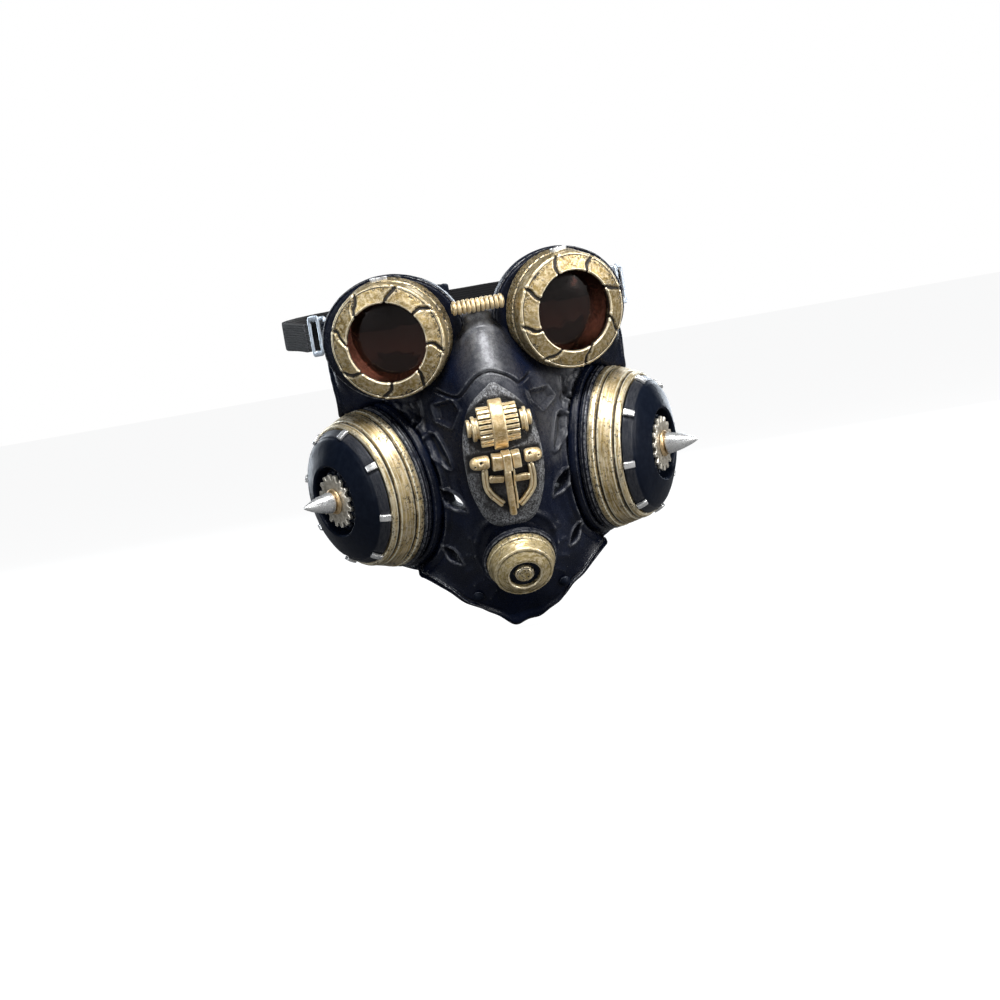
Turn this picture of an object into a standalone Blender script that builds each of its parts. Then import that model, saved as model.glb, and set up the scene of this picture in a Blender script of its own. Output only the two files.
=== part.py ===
"""Steampunk half gas mask with goggles, side canisters and a head strap.

Frame: metres, +Z up, the mask faces -Y, the wearer's left and right are mirrored
about X = 0.  The origin is the middle of the wearer's head at the height of the
goggle centres.  Sizes below are millimetres; everything is scaled once by MM.
"""
import math

import bmesh
import bpy
from mathutils import Matrix, Vector

MM = 0.001
GAP = 0.3                                   # clearance between touching pieces

# ---- driving dimensions (mm) -------------------------------------------------
GOGGLE_C = Vector((39.6, -88.0, 0.0))       # centre of the bezel's outer edge
GOGGLE_SPLAY, GOGGLE_TILT = 20.8, 9.5       # degrees outward, degrees down
BEZEL_R, EYE_R, BEZEL_PROUD = 25.0, 17.2, 3.4
RIM_R, RIM_WIDEN, RIM_OUT, RIM_DOWN = 27.2, 4.6, 1.1, -1.2   # oval rim behind the bezel

CAN_C = Vector((52.3, -52.8, -61.2))        # rear rim of the canister's band
CAN_SPLAY, CAN_TILT = 63.0, 6.2
BAND_R_REAR, BAND_R_FRONT, BAND_L = 35.3, 31.5, 13.5
FLANGE_R, GASKET_R = 37.5, 36.0
CAP_R, CAP_SHOULDER_R, RECESS_R, RECESS_D = 29.7, 27.2, 15.2, 22.9
COG_R, COG_TEETH = 11.7, 16
SPIKE_TIP, SPIKE_R = 37.9, 4.4
LUGS = 8
LUG_PHASE = {1: 32.0, -1: 23.5}             # degrees, rest twist of each cap

VALVE_C = Vector((0.0, -88.1, -100.7))
VALVE_TILT = 38.6
VALVE_R, VALVE_FRONT_R, VALVE_RECESS_R = 15.1, 13.1, 6.8

SHELL_T = 2.4
PLAQUE_T = 2.2
STRAP_W, STRAP_T = 13.0, 1.5
LOOP_AXIS = Vector((62.6, -53.5, 7.6))      # vertical hinge line of the strap loop
LOOP_DIR = math.radians(68.0)
TAIL_DIR = math.radians(80.0)               # heading of the strap leaving the loop
SEG = 24


# ---- scene helpers -------------------------------------------------------------
def wipe():
    for ob in list(bpy.data.objects):
        bpy.data.objects.remove(ob, do_unlink=True)
    for me in list(bpy.data.meshes):
        bpy.data.meshes.remove(me)


wipe()
PARTS = bpy.data.collections.new("steampunk_gas_mask")
CUTTERS = bpy.data.collections.new("cutters")
bpy.context.scene.collection.children.link(PARTS)
bpy.context.scene.collection.children.link(CUTTERS)

MATS = {}


def material(name, colour, rough, metal, alpha=1.0):
    m = bpy.data.materials.new(name)
    m.use_nodes = True
    p = m.node_tree.nodes["Principled BSDF"]
    p.inputs["Base Color"].default_value = (*colour, 1.0)
    p.inputs["Roughness"].default_value = rough
    p.inputs["Metallic"].default_value = metal
    p.inputs["Alpha"].default_value = alpha
    MATS[name] = m


material("black_rubber", (0.012, 0.014, 0.020), 0.42, 0.0)
material("antique_brass", (0.52, 0.40, 0.17), 0.38, 0.9)
material("pale_brass", (0.62, 0.50, 0.30), 0.45, 0.8)
material("grey_leather", (0.10, 0.10, 0.11), 0.6, 0.1)
material("silver", (0.75, 0.75, 0.76), 0.2, 1.0)
material("steel", (0.65, 0.70, 0.76), 0.3, 1.0)
material("smoked_lens", (0.16, 0.07, 0.04), 0.08, 0.0, 0.35)
material("dark_paint", (0.02, 0.021, 0.026), 0.35, 0.3)
material("elastic", (0.012, 0.012, 0.014), 0.85, 0.0)


def put(ob, mat, coll=None):
    (coll or PARTS).objects.link(ob)
    if mat:
        ob.data.materials.clear()
        ob.data.materials.append(MATS[mat])
    return ob


def smooth(ob, angle=35.0):
    ob.data.shade_smooth()
    ob.data.set_sharp_from_angle(angle=math.radians(angle))


def direction(splay, tilt, side=1):
    """Unit vector: forward is -Y, splay turns it outward, tilt turns it down."""
    s, t = math.radians(splay), math.radians(tilt)
    return Vector((side * math.sin(s) * math.cos(t), -math.cos(s) * math.cos(t), -math.sin(t)))


def frame_on(origin, normal, side=1):
    """World matrix (metres) whose +Z is normal and whose +Y is the nearest to up."""
    z = normal.normalized()
    x = Vector((0, 0, 1)).cross(z).normalized()
    y = z.cross(x)
    o = Vector((side * origin.x, origin.y, origin.z)) * MM
    return Matrix(((x.x, y.x, z.x, o.x), (x.y, y.y, z.y, o.y), (x.z, y.z, z.z, o.z), (0, 0, 0, 1)))


def turned(name, profile, mat, matrix, seg=SEG, closed=True, coll=None):
    """Profile points (radius, height) in mm, run down the outer side first."""
    me = bpy.data.meshes.new(name)
    bm = bmesh.new()
    vs = [bm.verts.new((r * MM, 0.0, d * MM)) for r, d in profile]
    pairs = list(zip(vs, vs[1:])) + ([(vs[-1], vs[0])] if closed else [])
    for a, b in pairs:
        bm.edges.new((a, b))
    bm.to_mesh(me)
    bm.free()
    ob = bpy.data.objects.new(name, me)
    put(ob, mat, coll)
    ob.matrix_world = matrix
    sc = ob.modifiers.new("turn", "SCREW")
    sc.axis = "Z"
    sc.angle = 2 * math.pi
    sc.steps = sc.render_steps = seg
    sc.use_merge_vertices = True
    sc.merge_threshold = 0.00002
    sc.use_smooth_shade = True
    sc.use_normal_calculate = False
    return ob


def hide_cutter(ob):
    ob.hide_render = True
    ob.display_type = "WIRE"
    return ob


def cut(ob, cutter, op="DIFFERENCE"):
    b = ob.modifiers.new(op.lower(), "BOOLEAN")
    b.operation = op
    b.solver = "EXACT"
    b.object = cutter
    return b


def bake(ob):
    """Replace an object's mesh by its evaluated one, so it can be joined or cut further."""
    bpy.context.view_layer.update()
    dg = bpy.context.evaluated_depsgraph_get()
    me = bpy.data.meshes.new_from_object(ob.evaluated_get(dg))
    bm = bmesh.new()
    bm.from_mesh(me)
    bmesh.ops.remove_doubles(bm, verts=bm.verts, dist=0.000002)
    bm.to_mesh(me)
    bm.free()
    new = bpy.data.objects.new(ob.name + "_m", me)
    for c in ob.users_collection:
        c.objects.link(new)
    new.matrix_world = ob.matrix_world.copy()
    name = ob.name
    bpy.data.objects.remove(ob, do_unlink=True)
    new.name = name
    return new


def block(name, size, mat, matrix, bevel=0.0, seg=1, coll=None):
    """Axis-aligned box in the given frame, size in mm, edges rounded by bevel mm."""
    me = bpy.data.meshes.new(name)
    bm = bmesh.new()
    bmesh.ops.create_cube(bm, size=1.0)
    bmesh.ops.scale(bm, vec=Vector(size) * MM, verts=bm.verts)
    bm.to_mesh(me)
    bm.free()
    ob = bpy.data.objects.new(name, me)
    put(ob, mat, coll)
    ob.matrix_world = matrix
    if bevel:
        b = ob.modifiers.new("round", "BEVEL")
        b.width = bevel * MM
        b.segments = seg
        b.limit_method = "ANGLE"
    return ob


def rod(name, length, radius, mat, matrix, seg=16, coll=None):
    """Plain cylinder along local Z, centred."""
    me = bpy.data.meshes.new(name)
    bm = bmesh.new()
    bmesh.ops.create_cone(bm, cap_ends=True, segments=seg, radius1=radius * MM,
                          radius2=radius * MM, depth=length * MM)
    bm.to_mesh(me)
    bm.free()
    ob = bpy.data.objects.new(name, me)
    put(ob, mat, coll)
    ob.matrix_world = matrix
    return ob


def wire(name, pts, radius, mat, cyclic=False, res=2, matrix=None, squash=None):
    """Round wire through points (mm), as a poly curve with a bevel."""
    cu = bpy.data.curves.new(name, "CURVE")
    cu.dimensions = "3D"
    cu.bevel_depth = radius * MM
    cu.bevel_resolution = res
    cu.use_fill_caps = True
    sp = cu.splines.new("POLY")
    sp.points.add(len(pts) - 1)
    for p, q in zip(sp.points, pts):
        p.co = (q[0] * MM, q[1] * MM, q[2] * MM, 1.0)
    sp.use_cyclic_u = cyclic
    ob = bpy.data.objects.new(name, cu)
    put(ob, mat)
    if matrix:
        ob.matrix_world = matrix
    return ob


def outline(name, loops, thick, mat, matrix, coll=None, bevel=0.0):
    """Flat plate of the given thickness (mm), centred on the local XY plane."""
    cu = bpy.data.curves.new(name, "CURVE")
    cu.dimensions = "2D"
    cu.fill_mode = "BOTH"
    cu.extrude = thick * MM / 2
    for loop in loops:
        sp = cu.splines.new("POLY")
        sp.points.add(len(loop) - 1)
        for p, q in zip(sp.points, loop):
            p.co = (q[0] * MM, q[1] * MM, 0.0, 1.0)
        sp.use_cyclic_u = True
    ob = bpy.data.objects.new(name, cu)
    put(ob, mat, coll)
    ob.matrix_world = matrix
    return bake(ob)


def shift(matrix, x=0.0, y=0.0, z=0.0):
    return matrix @ Matrix.Translation(Vector((x, y, z)) * MM)


def mirror_mesh(ob, name):
    """Mirror image of an object about X = 0, as its own object."""
    bpy.context.view_layer.update()
    dg = bpy.context.evaluated_depsgraph_get()
    me = bpy.data.meshes.new_from_object(ob.evaluated_get(dg))
    me.transform(ob.matrix_world)
    me.transform(Matrix.Scale(-1, 4, (1, 0, 0)))
    me.flip_normals()
    new = bpy.data.objects.new(name, me)
    for c in ob.users_collection:
        c.objects.link(new)
    return new


def catmull(pts, per):
    """Smooth curve through points, `per` steps a span."""
    out = []
    n = len(pts)
    for i in range(n - 1):
        p0, p1, p2, p3 = pts[max(i - 1, 0)], pts[i], pts[i + 1], pts[min(i + 2, n - 1)]
        for k in range(per):
            t = k / per
            out.append(0.5 * ((2 * p1) + (p2 - p0) * t + (2 * p0 - 5 * p1 + 4 * p2 - p3) * t * t
                              + (3 * p1 - p0 - 3 * p2 + p3) * t ** 3))
    out.append(pts[-1].copy())
    return out


NAME = {1: "right", -1: "left"}
UP = Vector((0, 0, 1))

# =============================================================================
# goggles: turned about each eye axis.  Heights are forward of the bezel edge.
# =============================================================================
HOUSING = [(23.3, -7.4), (23.3, -11.7), (26.4, -11.9), (RIM_R, -12.9), (RIM_R, -15.9), (26.4, -16.9), (25.0, -17.3),
           (23.6, -23.0), (21.8, -23.0), (21.0, -9.4), (21.0, -7.4)]
BEZEL = [(EYE_R, BEZEL_PROUD), (18.2, BEZEL_PROUD + 0.25), (24.3, 0.9), (BEZEL_R, 0.0), (25.6, -11.3),
         (23.9, -11.3), (23.7, -1.5), (EYE_R, 1.3)]
LENS = [(0.0, -3.2), (8.0, -3.4), (15.5, -4.2), (22.9, -5.4), (22.9, -7.0), (15.5, -6.0), (8.0, -5.1), (0.0, -4.8)]


def oval(ob, side, start=26.0):
    """Stretch a turned rim sideways into the oval that sits against the face."""
    for v in ob.data.vertices:
        x, y = v.co.x / MM, v.co.y / MM
        r = math.hypot(x, y)
        if r < start:
            continue
        a = math.atan2(y, side * x)
        k = r / RIM_R
        v.co.x = side * (RIM_OUT + (RIM_R + RIM_WIDEN) * math.cos(a) * k) * MM
        v.co.y = (RIM_DOWN + r * math.sin(a)) * MM
    return ob


for side in (1, -1):
    tag = NAME[side]
    m = frame_on(GOGGLE_C, direction(GOGGLE_SPLAY, GOGGLE_TILT, side), side)
    oval(bake(turned(f"goggle_housing_{tag}", HOUSING, "black_rubber", m)), side)
    turned(f"goggle_bezel_{tag}", BEZEL, "antique_brass", m)
    turned(f"goggle_lens_{tag}", LENS, "smoked_lens", m, closed=False, seg=24)
    # small clip lying on top of the housing rim
    a = math.radians(-9.0 * side)
    lay = m @ Matrix.Rotation(a, 4, "Z")
    block(f"goggle_clip_{tag}", (7.6, 1.9, 1.2), "silver", shift(lay, 0, 27.6, -3.5), 0.5)

# hole in the shell for each goggle: the housing's wall plus the gap
GOGGLE_CUT = [(RIM_R + 0.5, 30.0), (RIM_R + 0.5, -17.0), (25.6, -17.6), (24.3, -23.0), (24.2, -40.0), (0.0, -40.0)]

# =============================================================================
# bridge tube between the housings: ribs on a thin tube
# =============================================================================
RIBS, PITCH = 11, 2.0
half = RIBS * PITCH / 2
rib = [(0.0, half + 0.2), (2.3, half + 0.2)]
for i in range(RIBS):
    z = half - i * PITCH
    rib += [(2.4, z), (3.1, z - 0.55), (3.1, z - 1.2)]
rib += [(2.3, -half - 0.2), (0.0, -half - 0.2)]
turned("bridge_tube", rib, "antique_brass", frame_on(Vector((0, -93.5, 9.0)), Vector((1, 0, 0))), seg=10, closed=False)

# =============================================================================
# face shell: a coarse half cage, subdivided, thickened and mirrored
# Rows run from the brow edge to the chin, columns from the centre line outward.
# =============================================================================
SECTIONS = [
    [(0, -88.5, 7.0), (5, -87.0, 6.5), (10, -80, 4.5), (22, -70, 4.0), (37, -66, 3.0), (50, -60, 1.5), (60, -54, -0.5), (63.5, -46, -1.5)],
    [(0, -97.5, -7), (7, -94.5, -7), (13.5, -85, -8), (23, -76, -8), (37, -71, -8), (50, -66, -8), (60, -58, -9), (64, -48, -10)],
    [(0, -103.5, -18), (8.5, -100.5, -18), (16, -91, -19), (25, -81.5, -21), (37, -74, -22), (49, -67, -22), (61.0, -60.5, -22), (69, -50, -25)],
    [(0, -105.5, -31), (10, -103, -31), (18, -94.5, -32), (25.5, -85, -33), (33, -76, -34), (43, -65, -34), (55, -53, -34), (66, -41, -35)],
    [(0, -105.5, -46), (10.5, -103, -46), (18.5, -94.5, -46), (26, -84, -47), (32, -75, -47), (42, -57, -47), (52, -38, -47), (60, -21, -46)],
    [(0, -103, -60), (10.5, -100.5, -60), (18.5, -92, -60), (26, -81.5, -60), (32, -73, -60), (42, -55, -60), (51, -37, -60), (59, -19, -60)],
    [(0, -94.5, -74), (10, -93, -74), (18.5, -87, -74), (26, -79, -74), (32, -70.5, -74), (41, -53, -74), (50, -35, -74), (58, -18, -74)],
    [(0, -88, -88), (9.5, -87, -88), (18, -83, -88), (25.5, -76.5, -88), (32, -69, -88), (40.5, -53, -88), (49, -37, -88), (57, -20, -87)],
    [(0, -84.5, -101), (9, -83.5, -101), (17, -79.5, -101), (24.5, -74, -100.5), (31.5, -68.5, -98), (40, -57, -95.5), (48, -41, -94.5), (55.5, -25, -93.5)],
    [(0, -74, -113), (8.5, -73.5, -113), (16, -72, -112.5), (23, -70, -110), (31, -67.5, -104), (39.5, -60, -98.5), (47.5, -43, -97.5), (55, -27, -96.5)],
    [(0, -61.5, -129.5), (7.5, -63, -128.0), (14.5, -67, -122.5), (22, -68.5, -117.5), (31, -67.5, -108.5), (40, -62, -100.0), (47.5, -44.5, -99.5), (54.5, -29, -98.5)],
]
ROWS, COLS = len(SECTIONS), len(SECTIONS[0])
n_can = direction(CAN_SPLAY, CAN_TILT)
n_val = direction(0.0, VALVE_TILT)
SEAT_CAN = -8.4                              # height of the flat seat on the shell


def seat(p, centre, normal, height, r_in, r_out, strength=1.0):
    """Pull a point on to a flat round seat, fading out beyond its edge."""
    v = p - centre
    d = v.dot(normal)
    r = (v - normal * d).length
    if abs(d - height) > 22 or r >= r_out:
        return p
    w = 1.0 if r <= r_in else 0.5 + 0.5 * math.cos(math.pi * (r - r_in) / (r_out - r_in))
    return p + normal * ((height - d) * w * strength)


def shell_surface():
    me = bpy.data.meshes.new("face_shell")
    bm = bmesh.new()
    bmesh.ops.create_grid(bm, x_segments=COLS - 1, y_segments=ROWS - 1, size=1.0)
    bm.verts.ensure_lookup_table()
    for v in bm.verts:
        c = round((v.co.x + 1) / 2 * (COLS - 1))
        r = round((1 - v.co.y) / 2 * (ROWS - 1))
        v.co = Vector(SECTIONS[r][c]) * MM
    bm.to_mesh(me)
    bm.free()
    ob = bpy.data.objects.new("face_shell", me)
    put(ob, "black_rubber")
    mi = ob.modifiers.new("mirror", "MIRROR")
    mi.use_axis = (True, False, False)
    mi.use_clip = True
    mi.merge_threshold = 0.00005
    su = ob.modifiers.new("soft", "SUBSURF")
    su.levels = su.render_levels = 1
    ob = bake(ob)
    # flat seats for the canisters
    for v in ob.data.vertices:
        p = v.co / MM
        s = 1 if p.x >= 0 else -1
        p = Vector((abs(p.x), p.y, p.z))
        p = seat(p, CAN_C, n_can, SEAT_CAN, 42.0, 51.0)
        p.x *= s
        v.co = p * MM
    so = ob.modifiers.new("wall", "SOLIDIFY")
    so.thickness = SHELL_T * MM
    so.offset = -1.0
    so.use_even_offset = True
    return bake(ob)


shell = shell_surface()
for side in (1, -1):
    m = frame_on(GOGGLE_C, direction(GOGGLE_SPLAY, GOGGLE_TILT, side), side)
    c = oval(bake(turned(f"cut_goggle_{NAME[side]}", [(0.0, 30.0)] + GOGGLE_CUT, None, m, closed=False, seg=28, coll=CUTTERS)), side)
    cut(shell, hide_cutter(c))


def leaf(name, at, length, width, lean, normal, side):
    """Leaf-shaped vent cutter: a lens outline standing across the shell."""
    pts = []
    k = 7
    for i in range(k):
        t = -1 + 2 * i / k
        pts.append((length / 2 * t, width / 2 * (1 - t * t)))
    for i in range(k):
        t = 1 - 2 * i / k
        pts.append((length / 2 * t, -width / 2 * (1 - t * t)))
    m = frame_on(Vector(at), Vector((side * normal[0], normal[1], normal[2])), side)
    m = m @ Matrix.Rotation(math.radians(side * lean), 4, "Z")
    return hide_cutter(outline(name, [pts], 24.0, None, m, coll=CUTTERS))


for side in (1, -1):
    cut(shell, leaf(f"cut_vent_mid_{NAME[side]}", (23.2, -83, -71), 12.5, 5.0, 48, (0.72, -0.69, -0.1), side))
    cut(shell, leaf(f"cut_vent_low_{NAME[side]}", (27.8, -75, -95), 9.5, 4.0, 50, (0.66, -0.72, -0.25), side))
    # blind bore for the chin rivet
rivets = {}
for side in (1, -1):
    n = Vector((side * 0.22, -0.80, -0.56)).normalized()
    m = frame_on(Vector((18.8, -70.3, -114.2)), n, side)
    rivets[side] = m
    cut(shell, hide_cutter(rod(f"cut_rivet_{NAME[side]}", 14.0, 1.5, None, m, seg=12, coll=CUTTERS)))
cut(shell, hide_cutter(rod("cut_valve", 34.0, 13.9, None, shift(frame_on(VALVE_C, n_val), z=-10), seg=24, coll=CUTTERS)))

# =============================================================================
# chin valve
# =============================================================================
mv = frame_on(VALVE_C, n_val)
turned("valve_seat", [(9.0, 0.0), (VALVE_R + 0.4, 0.0), (VALVE_R + 0.9, -1.2), (VALVE_R, -3.0), (8.6, -3.0), (8.6, -8.0), (7.0, -8.0), (7.0, -1.5), (9.0, -1.5)],
       "antique_brass", mv, seg=20)
turned("valve_socket", [(9.0, -3.3), (13.6, -3.3), (13.6, -14.0), (9.0, -14.0)], "black_rubber", mv, seg=24)
turned("valve_cover", [(VALVE_RECESS_R, 10.5), (8.2, 10.7), (11.0, 9.3), (VALVE_FRONT_R, 6.7), (14.6, GAP), (12.4, GAP),
                       (11.4, 6.0), (VALVE_RECESS_R, 8.2)], "antique_brass", mv, seg=22)
turned("valve_ring", [(4.5, 9.2), (VALVE_RECESS_R - GAP, 9.2), (VALVE_RECESS_R - GAP, 7.2), (4.5, 7.2)], "dark_paint", mv, seg=20)
turned("valve_boss", [(0.0, 10.7), (2.6, 10.6), (3.7, 10.0), (4.2, 8.8), (4.2, 5.0), (6.6, 5.0), (6.6, 3.4), (0.0, 3.4)],
       "pale_brass", mv, closed=False, seg=20)

for side in (1, -1):
    turned(f"chin_rivet_{NAME[side]}", [(0.0, 1.9), (1.3, 1.6), (2.4, 0.5), (2.4, 0.35), (1.25, 0.35), (1.25, -4.0), (0.0, -4.0)],
           "dark_paint", shift(rivets[side], z=0.1), closed=False, seg=12)

# =============================================================================
# canisters
# =============================================================================
BAND = [(28.4, 13.2), (30.6, 13.5), (BAND_R_FRONT, 12.9), (31.9, 11.3), (31.2, 10.6), (32.3, 9.9), (34.2, 4.2), (33.7, 3.4),
        (34.9, 2.8), (BAND_R_REAR, 0.9), (35.0, 0.0), (28.4, 0.0)]
CAP = [(RECESS_R, RECESS_D - 0.3), (RECESS_R + 0.7, RECESS_D), (22.2, 20.7), (26.4, 18.8), (CAP_SHOULDER_R, 18.0), (CAP_R, 13.9),
       (28.1, 13.8), (28.1, 3.0), (26.4, 3.0), (26.4, 15.2), (2.7, 15.2), (2.7, 17.2), (14.6, 17.2)]


def cog_loops(radius, teeth, depth, bore, phase=0.0):
    pts = []
    for i in range(teeth):
        a = 2 * math.pi * i / teeth + phase
        w = 2 * math.pi / teeth
        for f, r in ((-0.30, radius - depth), (-0.20, radius), (0.20, radius), (0.30, radius - depth)):
            pts.append((r * math.cos(a + f * w), r * math.sin(a + f * w)))
    hole = [(bore * math.cos(2 * math.pi * k / 14), bore * math.sin(2 * math.pi * k / 14)) for k in range(14)]
    return [pts, hole]


for side in (1, -1):
    tag = NAME[side]
    m = frame_on(CAN_C, direction(CAN_SPLAY, CAN_TILT, side), side)
    turned(f"canister_flange_{tag}", [(0.0, -4.0), (FLANGE_R - 0.8, -4.0), (FLANGE_R, -4.8), (FLANGE_R, -7.2), (FLANGE_R - 0.8, -8.0), (0.0, -8.0)],
           "black_rubber", m, closed=False)
    turned(f"canister_gasket_{tag}", [(22.0, -GAP), (35.4, -GAP), (GASKET_R, -0.9), (GASKET_R, -3.1), (35.4, -3.7), (22.0, -3.7)],
           "black_rubber", m)
    turned(f"canister_band_{tag}", BAND, "antique_brass", m)
    turned(f"canister_cap_{tag}", CAP, "dark_paint", m)
    # eight grip lugs on one thin ring
    ring = turned(f"cap_lugs_{tag}", [(27.7, 18.1), (28.1, 18.35), (30.4, 14.6), (30.0, 14.3)], "silver", m, seg=32)
    ring = bake(ring)
    for k in range(LUGS):
        a = math.radians(90 - side * (LUG_PHASE[side] + 45 * k))
        lug = block(f"cut_lug_{tag}_{k}", (1.3, 2.4, 4.6), None, shift(m @ Matrix.Rotation(a, 4, "Z"), x=29.6, z=16.65) @ Matrix.Rotation(math.radians(-31.3), 4, "Y"), coll=CUTTERS)
        hide_cutter(lug)
        cut(ring, lug, "UNION")
    outline(f"cog_{tag}", cog_loops(COG_R, COG_TEETH, 1.7, 2.75), 1.8, "pale_brass", shift(m, z=21.7))
    outline(f"cog_rear_{tag}", cog_loops(12.4, 18, 1.2, 2.75, 0.1), 1.4, "dark_paint", shift(m, z=19.7))
    turned(f"spike_collar_{tag}", [(2.7, 24.0), (4.9, 24.0), (5.6, 23.5), (5.6, 22.9), (2.7, 22.9)], "antique_brass", m, seg=16)
    turned(f"spike_{tag}", [(0.0, SPIKE_TIP), (0.5, SPIKE_TIP - 0.8), (2.6, 31.0), (3.9, 26.4), (SPIKE_R, 25.0), (SPIKE_R, 24.3), (2.5, 24.3),
                            (2.5, 14.6), (0.0, 14.6)], "silver", m, closed=False, seg=16)
    turned(f"spike_screw_{tag}", [(0.0, 14.3), (2.8, 14.3), (2.8, 14.9), (5.2, 14.9), (5.2, 13.0), (4.4, 12.4), (0.0, 12.4)],
           "steel", m, closed=False, seg=14)

# =============================================================================
# nose plaque and its moulded mechanism
# =============================================================================
PLAQUE_MID = [(-24.0, -108.2), (-32.0, -109.0), (-42.0, -109.2), (-52.0, -108.4), (-60.0, -106.2), (-68.0, -102.2), (-76.0, -97.4), (-84.5, -92.0)]


def plaque_y(z):
    """Front surface of the plaque on the centre line."""
    pts = PLAQUE_MID
    if z >= pts[0][0]:
        return pts[0][1]
    for (z0, y0), (z1, y1) in zip(pts, pts[1:]):
        if z >= z1:
            t = (z0 - z) / (z0 - z1)
            return y0 + (y1 - y0) * t
    return pts[-1][1]


def plaque_half(z):
    """Half width of the shield outline at height z (mm)."""
    keys = [(-24.0, 1.5), (-26.0, 6.5), (-31.0, 10.6), (-38.0, 13.6), (-46.0, 15.4), (-56.0, 16.4), (-66.0, 16.4), (-74.0, 14.6), (-80.0, 11.2), (-83.5, 7.0), (-84.5, 3.5)]
    for (z0, w0), (z1, w1) in zip(keys, keys[1:]):
        if z >= z1:
            return w0 + (w1 - w0) * (z0 - z) / (z0 - z1)
    return keys[-1][1]


def on_plaque(x, z, lift):
    return Vector((x, plaque_y(z) + 0.012 * x * x - lift, z))


def plaque():
    zs = [-24.2, -27, -32, -38, -45, -52, -59, -66, -73, -79, -82.5, -84.4]
    me = bpy.data.meshes.new("nose_plaque")
    bm = bmesh.new()
    n = 6
    bmesh.ops.create_grid(bm, x_segments=n, y_segments=len(zs) - 1, size=1.0)
    for v in bm.verts:
        r = round((1 - v.co.y) / 2 * (len(zs) - 1))
        z = zs[r]
        x = v.co.x * plaque_half(z)
        v.co = on_plaque(x, z, 0.0) * MM
    bmesh.ops.recalc_face_normals(bm, faces=bm.faces)
    if sum((f.normal.y for f in bm.faces)) > 0:
        bmesh.ops.reverse_faces(bm, faces=bm.faces)
    bm.to_mesh(me)
    bm.free()
    ob = bpy.data.objects.new("nose_plaque", me)
    put(ob, "grey_leather")
    so = ob.modifiers.new("wall", "SOLIDIFY")
    so.thickness = PLAQUE_T * MM
    so.offset = -1.0
    return ob


plaque()


def across(z, lift, x=0.0, lean=0.0):
    """Frame on the plaque with local Z along +X."""
    p = on_plaque(x, z, lift)
    return frame_on(p, Vector((1, 0, 0)))


# knurled drums, their stepped end caps and the band between them: arcs that stand
# out of the plaque, extruded along X.  Outline coordinates are (along Z, lift).
DRUM_Z = -41.8


def arc_profile(half_chord, rise, ribs=0, depth=0.0, n=10):
    """D-shaped outline over a flat base, plain or with ribs along its back."""
    r = (half_chord ** 2 + rise ** 2) / (2 * rise)
    span = math.asin(min(1.0, half_chord / r))
    if rise > r:
        span = math.pi - span
    pts = []
    if ribs:
        for i in range(ribs):
            for f, dr in ((-0.46, -depth), (-0.28, 0.0), (0.28, 0.0), (0.46, -depth)):
                a = span * (2 * (i + 0.5 + f) / ribs - 1)
                pts.append(((r + dr) * math.sin(a), (r + dr) * math.cos(a) - (r - rise)))
    else:
        for i in range(n + 1):
            a = span * (2 * i / n - 1)
            pts.append((r * math.sin(a), r * math.cos(a) - (r - rise)))
    return [(a, max(b, 0.0)) for a, b in pts]


def d_solid(name, x, z, width, half_chord, rise, mat, lift=0.0, **kw):
    p = on_plaque(0, z, 0.3 + lift)
    # local X is world Z, local Y is forward (-Y), local Z is +X or -X
    m = Matrix(((0, 0, 1, (p.x + x) * MM), (0, -1, 0, p.y * MM), (1, 0, 0, p.z * MM), (0, 0, 0, 1)))
    return outline(name, [arc_profile(half_chord, rise, **kw)], width, mat, m)


for side in (1, -1):
    tag = NAME[side]
    d_solid(f"roller_drum_{tag}", side * 7.1, DRUM_Z, 7.6, 9.0, 4.8, "antique_brass", ribs=9, depth=0.8)
    cap = d_solid(f"roller_end_cap_{tag}", side * 12.4, DRUM_Z, 2.0, 5.7, 3.6, "antique_brass", n=8)
    knob = d_solid(f"cut_knob_{tag}", side * 14.4, DRUM_Z, 3.2, 3.5, 2.9, None, n=8)
    cut(cap, hide_cutter(knob), "UNION")
    PARTS.objects.unlink(knob)
    CUTTERS.objects.link(knob)
d_solid("roller_band", 0.0, -42.1, 5.6, 10.7, 6.4, "antique_brass", n=12)

# hinge bar: drilled ends, collars and the centre clasp
BAR_Z = -57.2
bar_base = on_plaque(0, BAR_Z, 3.7)
for side in (1, -1):
    tag = NAME[side]
    m = frame_on(bar_base, Vector((side, 0, 0)))
    end = turned(f"hinge_end_{tag}", [(0.0, 17.0), (1.6, 16.7), (2.7, 15.4), (2.9, 13.0), (2.9, 10.0), (2.5, 8.9), (0.0, 8.9)], "antique_brass", m, closed=False, seg=14)
    hole = hide_cutter(rod(f"cut_hinge_{tag}", 12.0, 0.6, None, frame_on(bar_base + Vector((side * 12.9, -5.0, 0.6)), Vector((0, -1, 0))), seg=8, coll=CUTTERS))
    cut(end, hole)
    turned(f"hinge_collar_{tag}", [(0.0, 8.4), (3.0, 8.4), (3.3, 7.6), (3.3, 5.4), (2.8, 4.6), (3.1, 3.4), (3.1, 2.9), (0.0, 2.9)], "antique_brass", m, closed=False, seg=14)
block("clasp_block", (4.9, 8.2, 6.4), "antique_brass", frame_on(bar_base + Vector((0, -0.4, -0.4)), Vector((0, -1, 0))), 0.8, 1)

# bail hanging from the hinge bar, its crossbar and the tongue over it
def bail_pts(r):
    pts = []
    for x, z in ((-9.6, -61.4), (-9.6, -66.5), (-8.4, -71.5), (-5.6, -75.4), (-3.2, -77.6), (3.2, -77.6), (5.6, -75.4), (8.4, -71.5), (9.6, -66.5), (9.6, -61.4)):
        p = on_plaque(x, z, r + 0.3)
        pts.append((p.x, p.y, p.z))
    return pts


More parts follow.
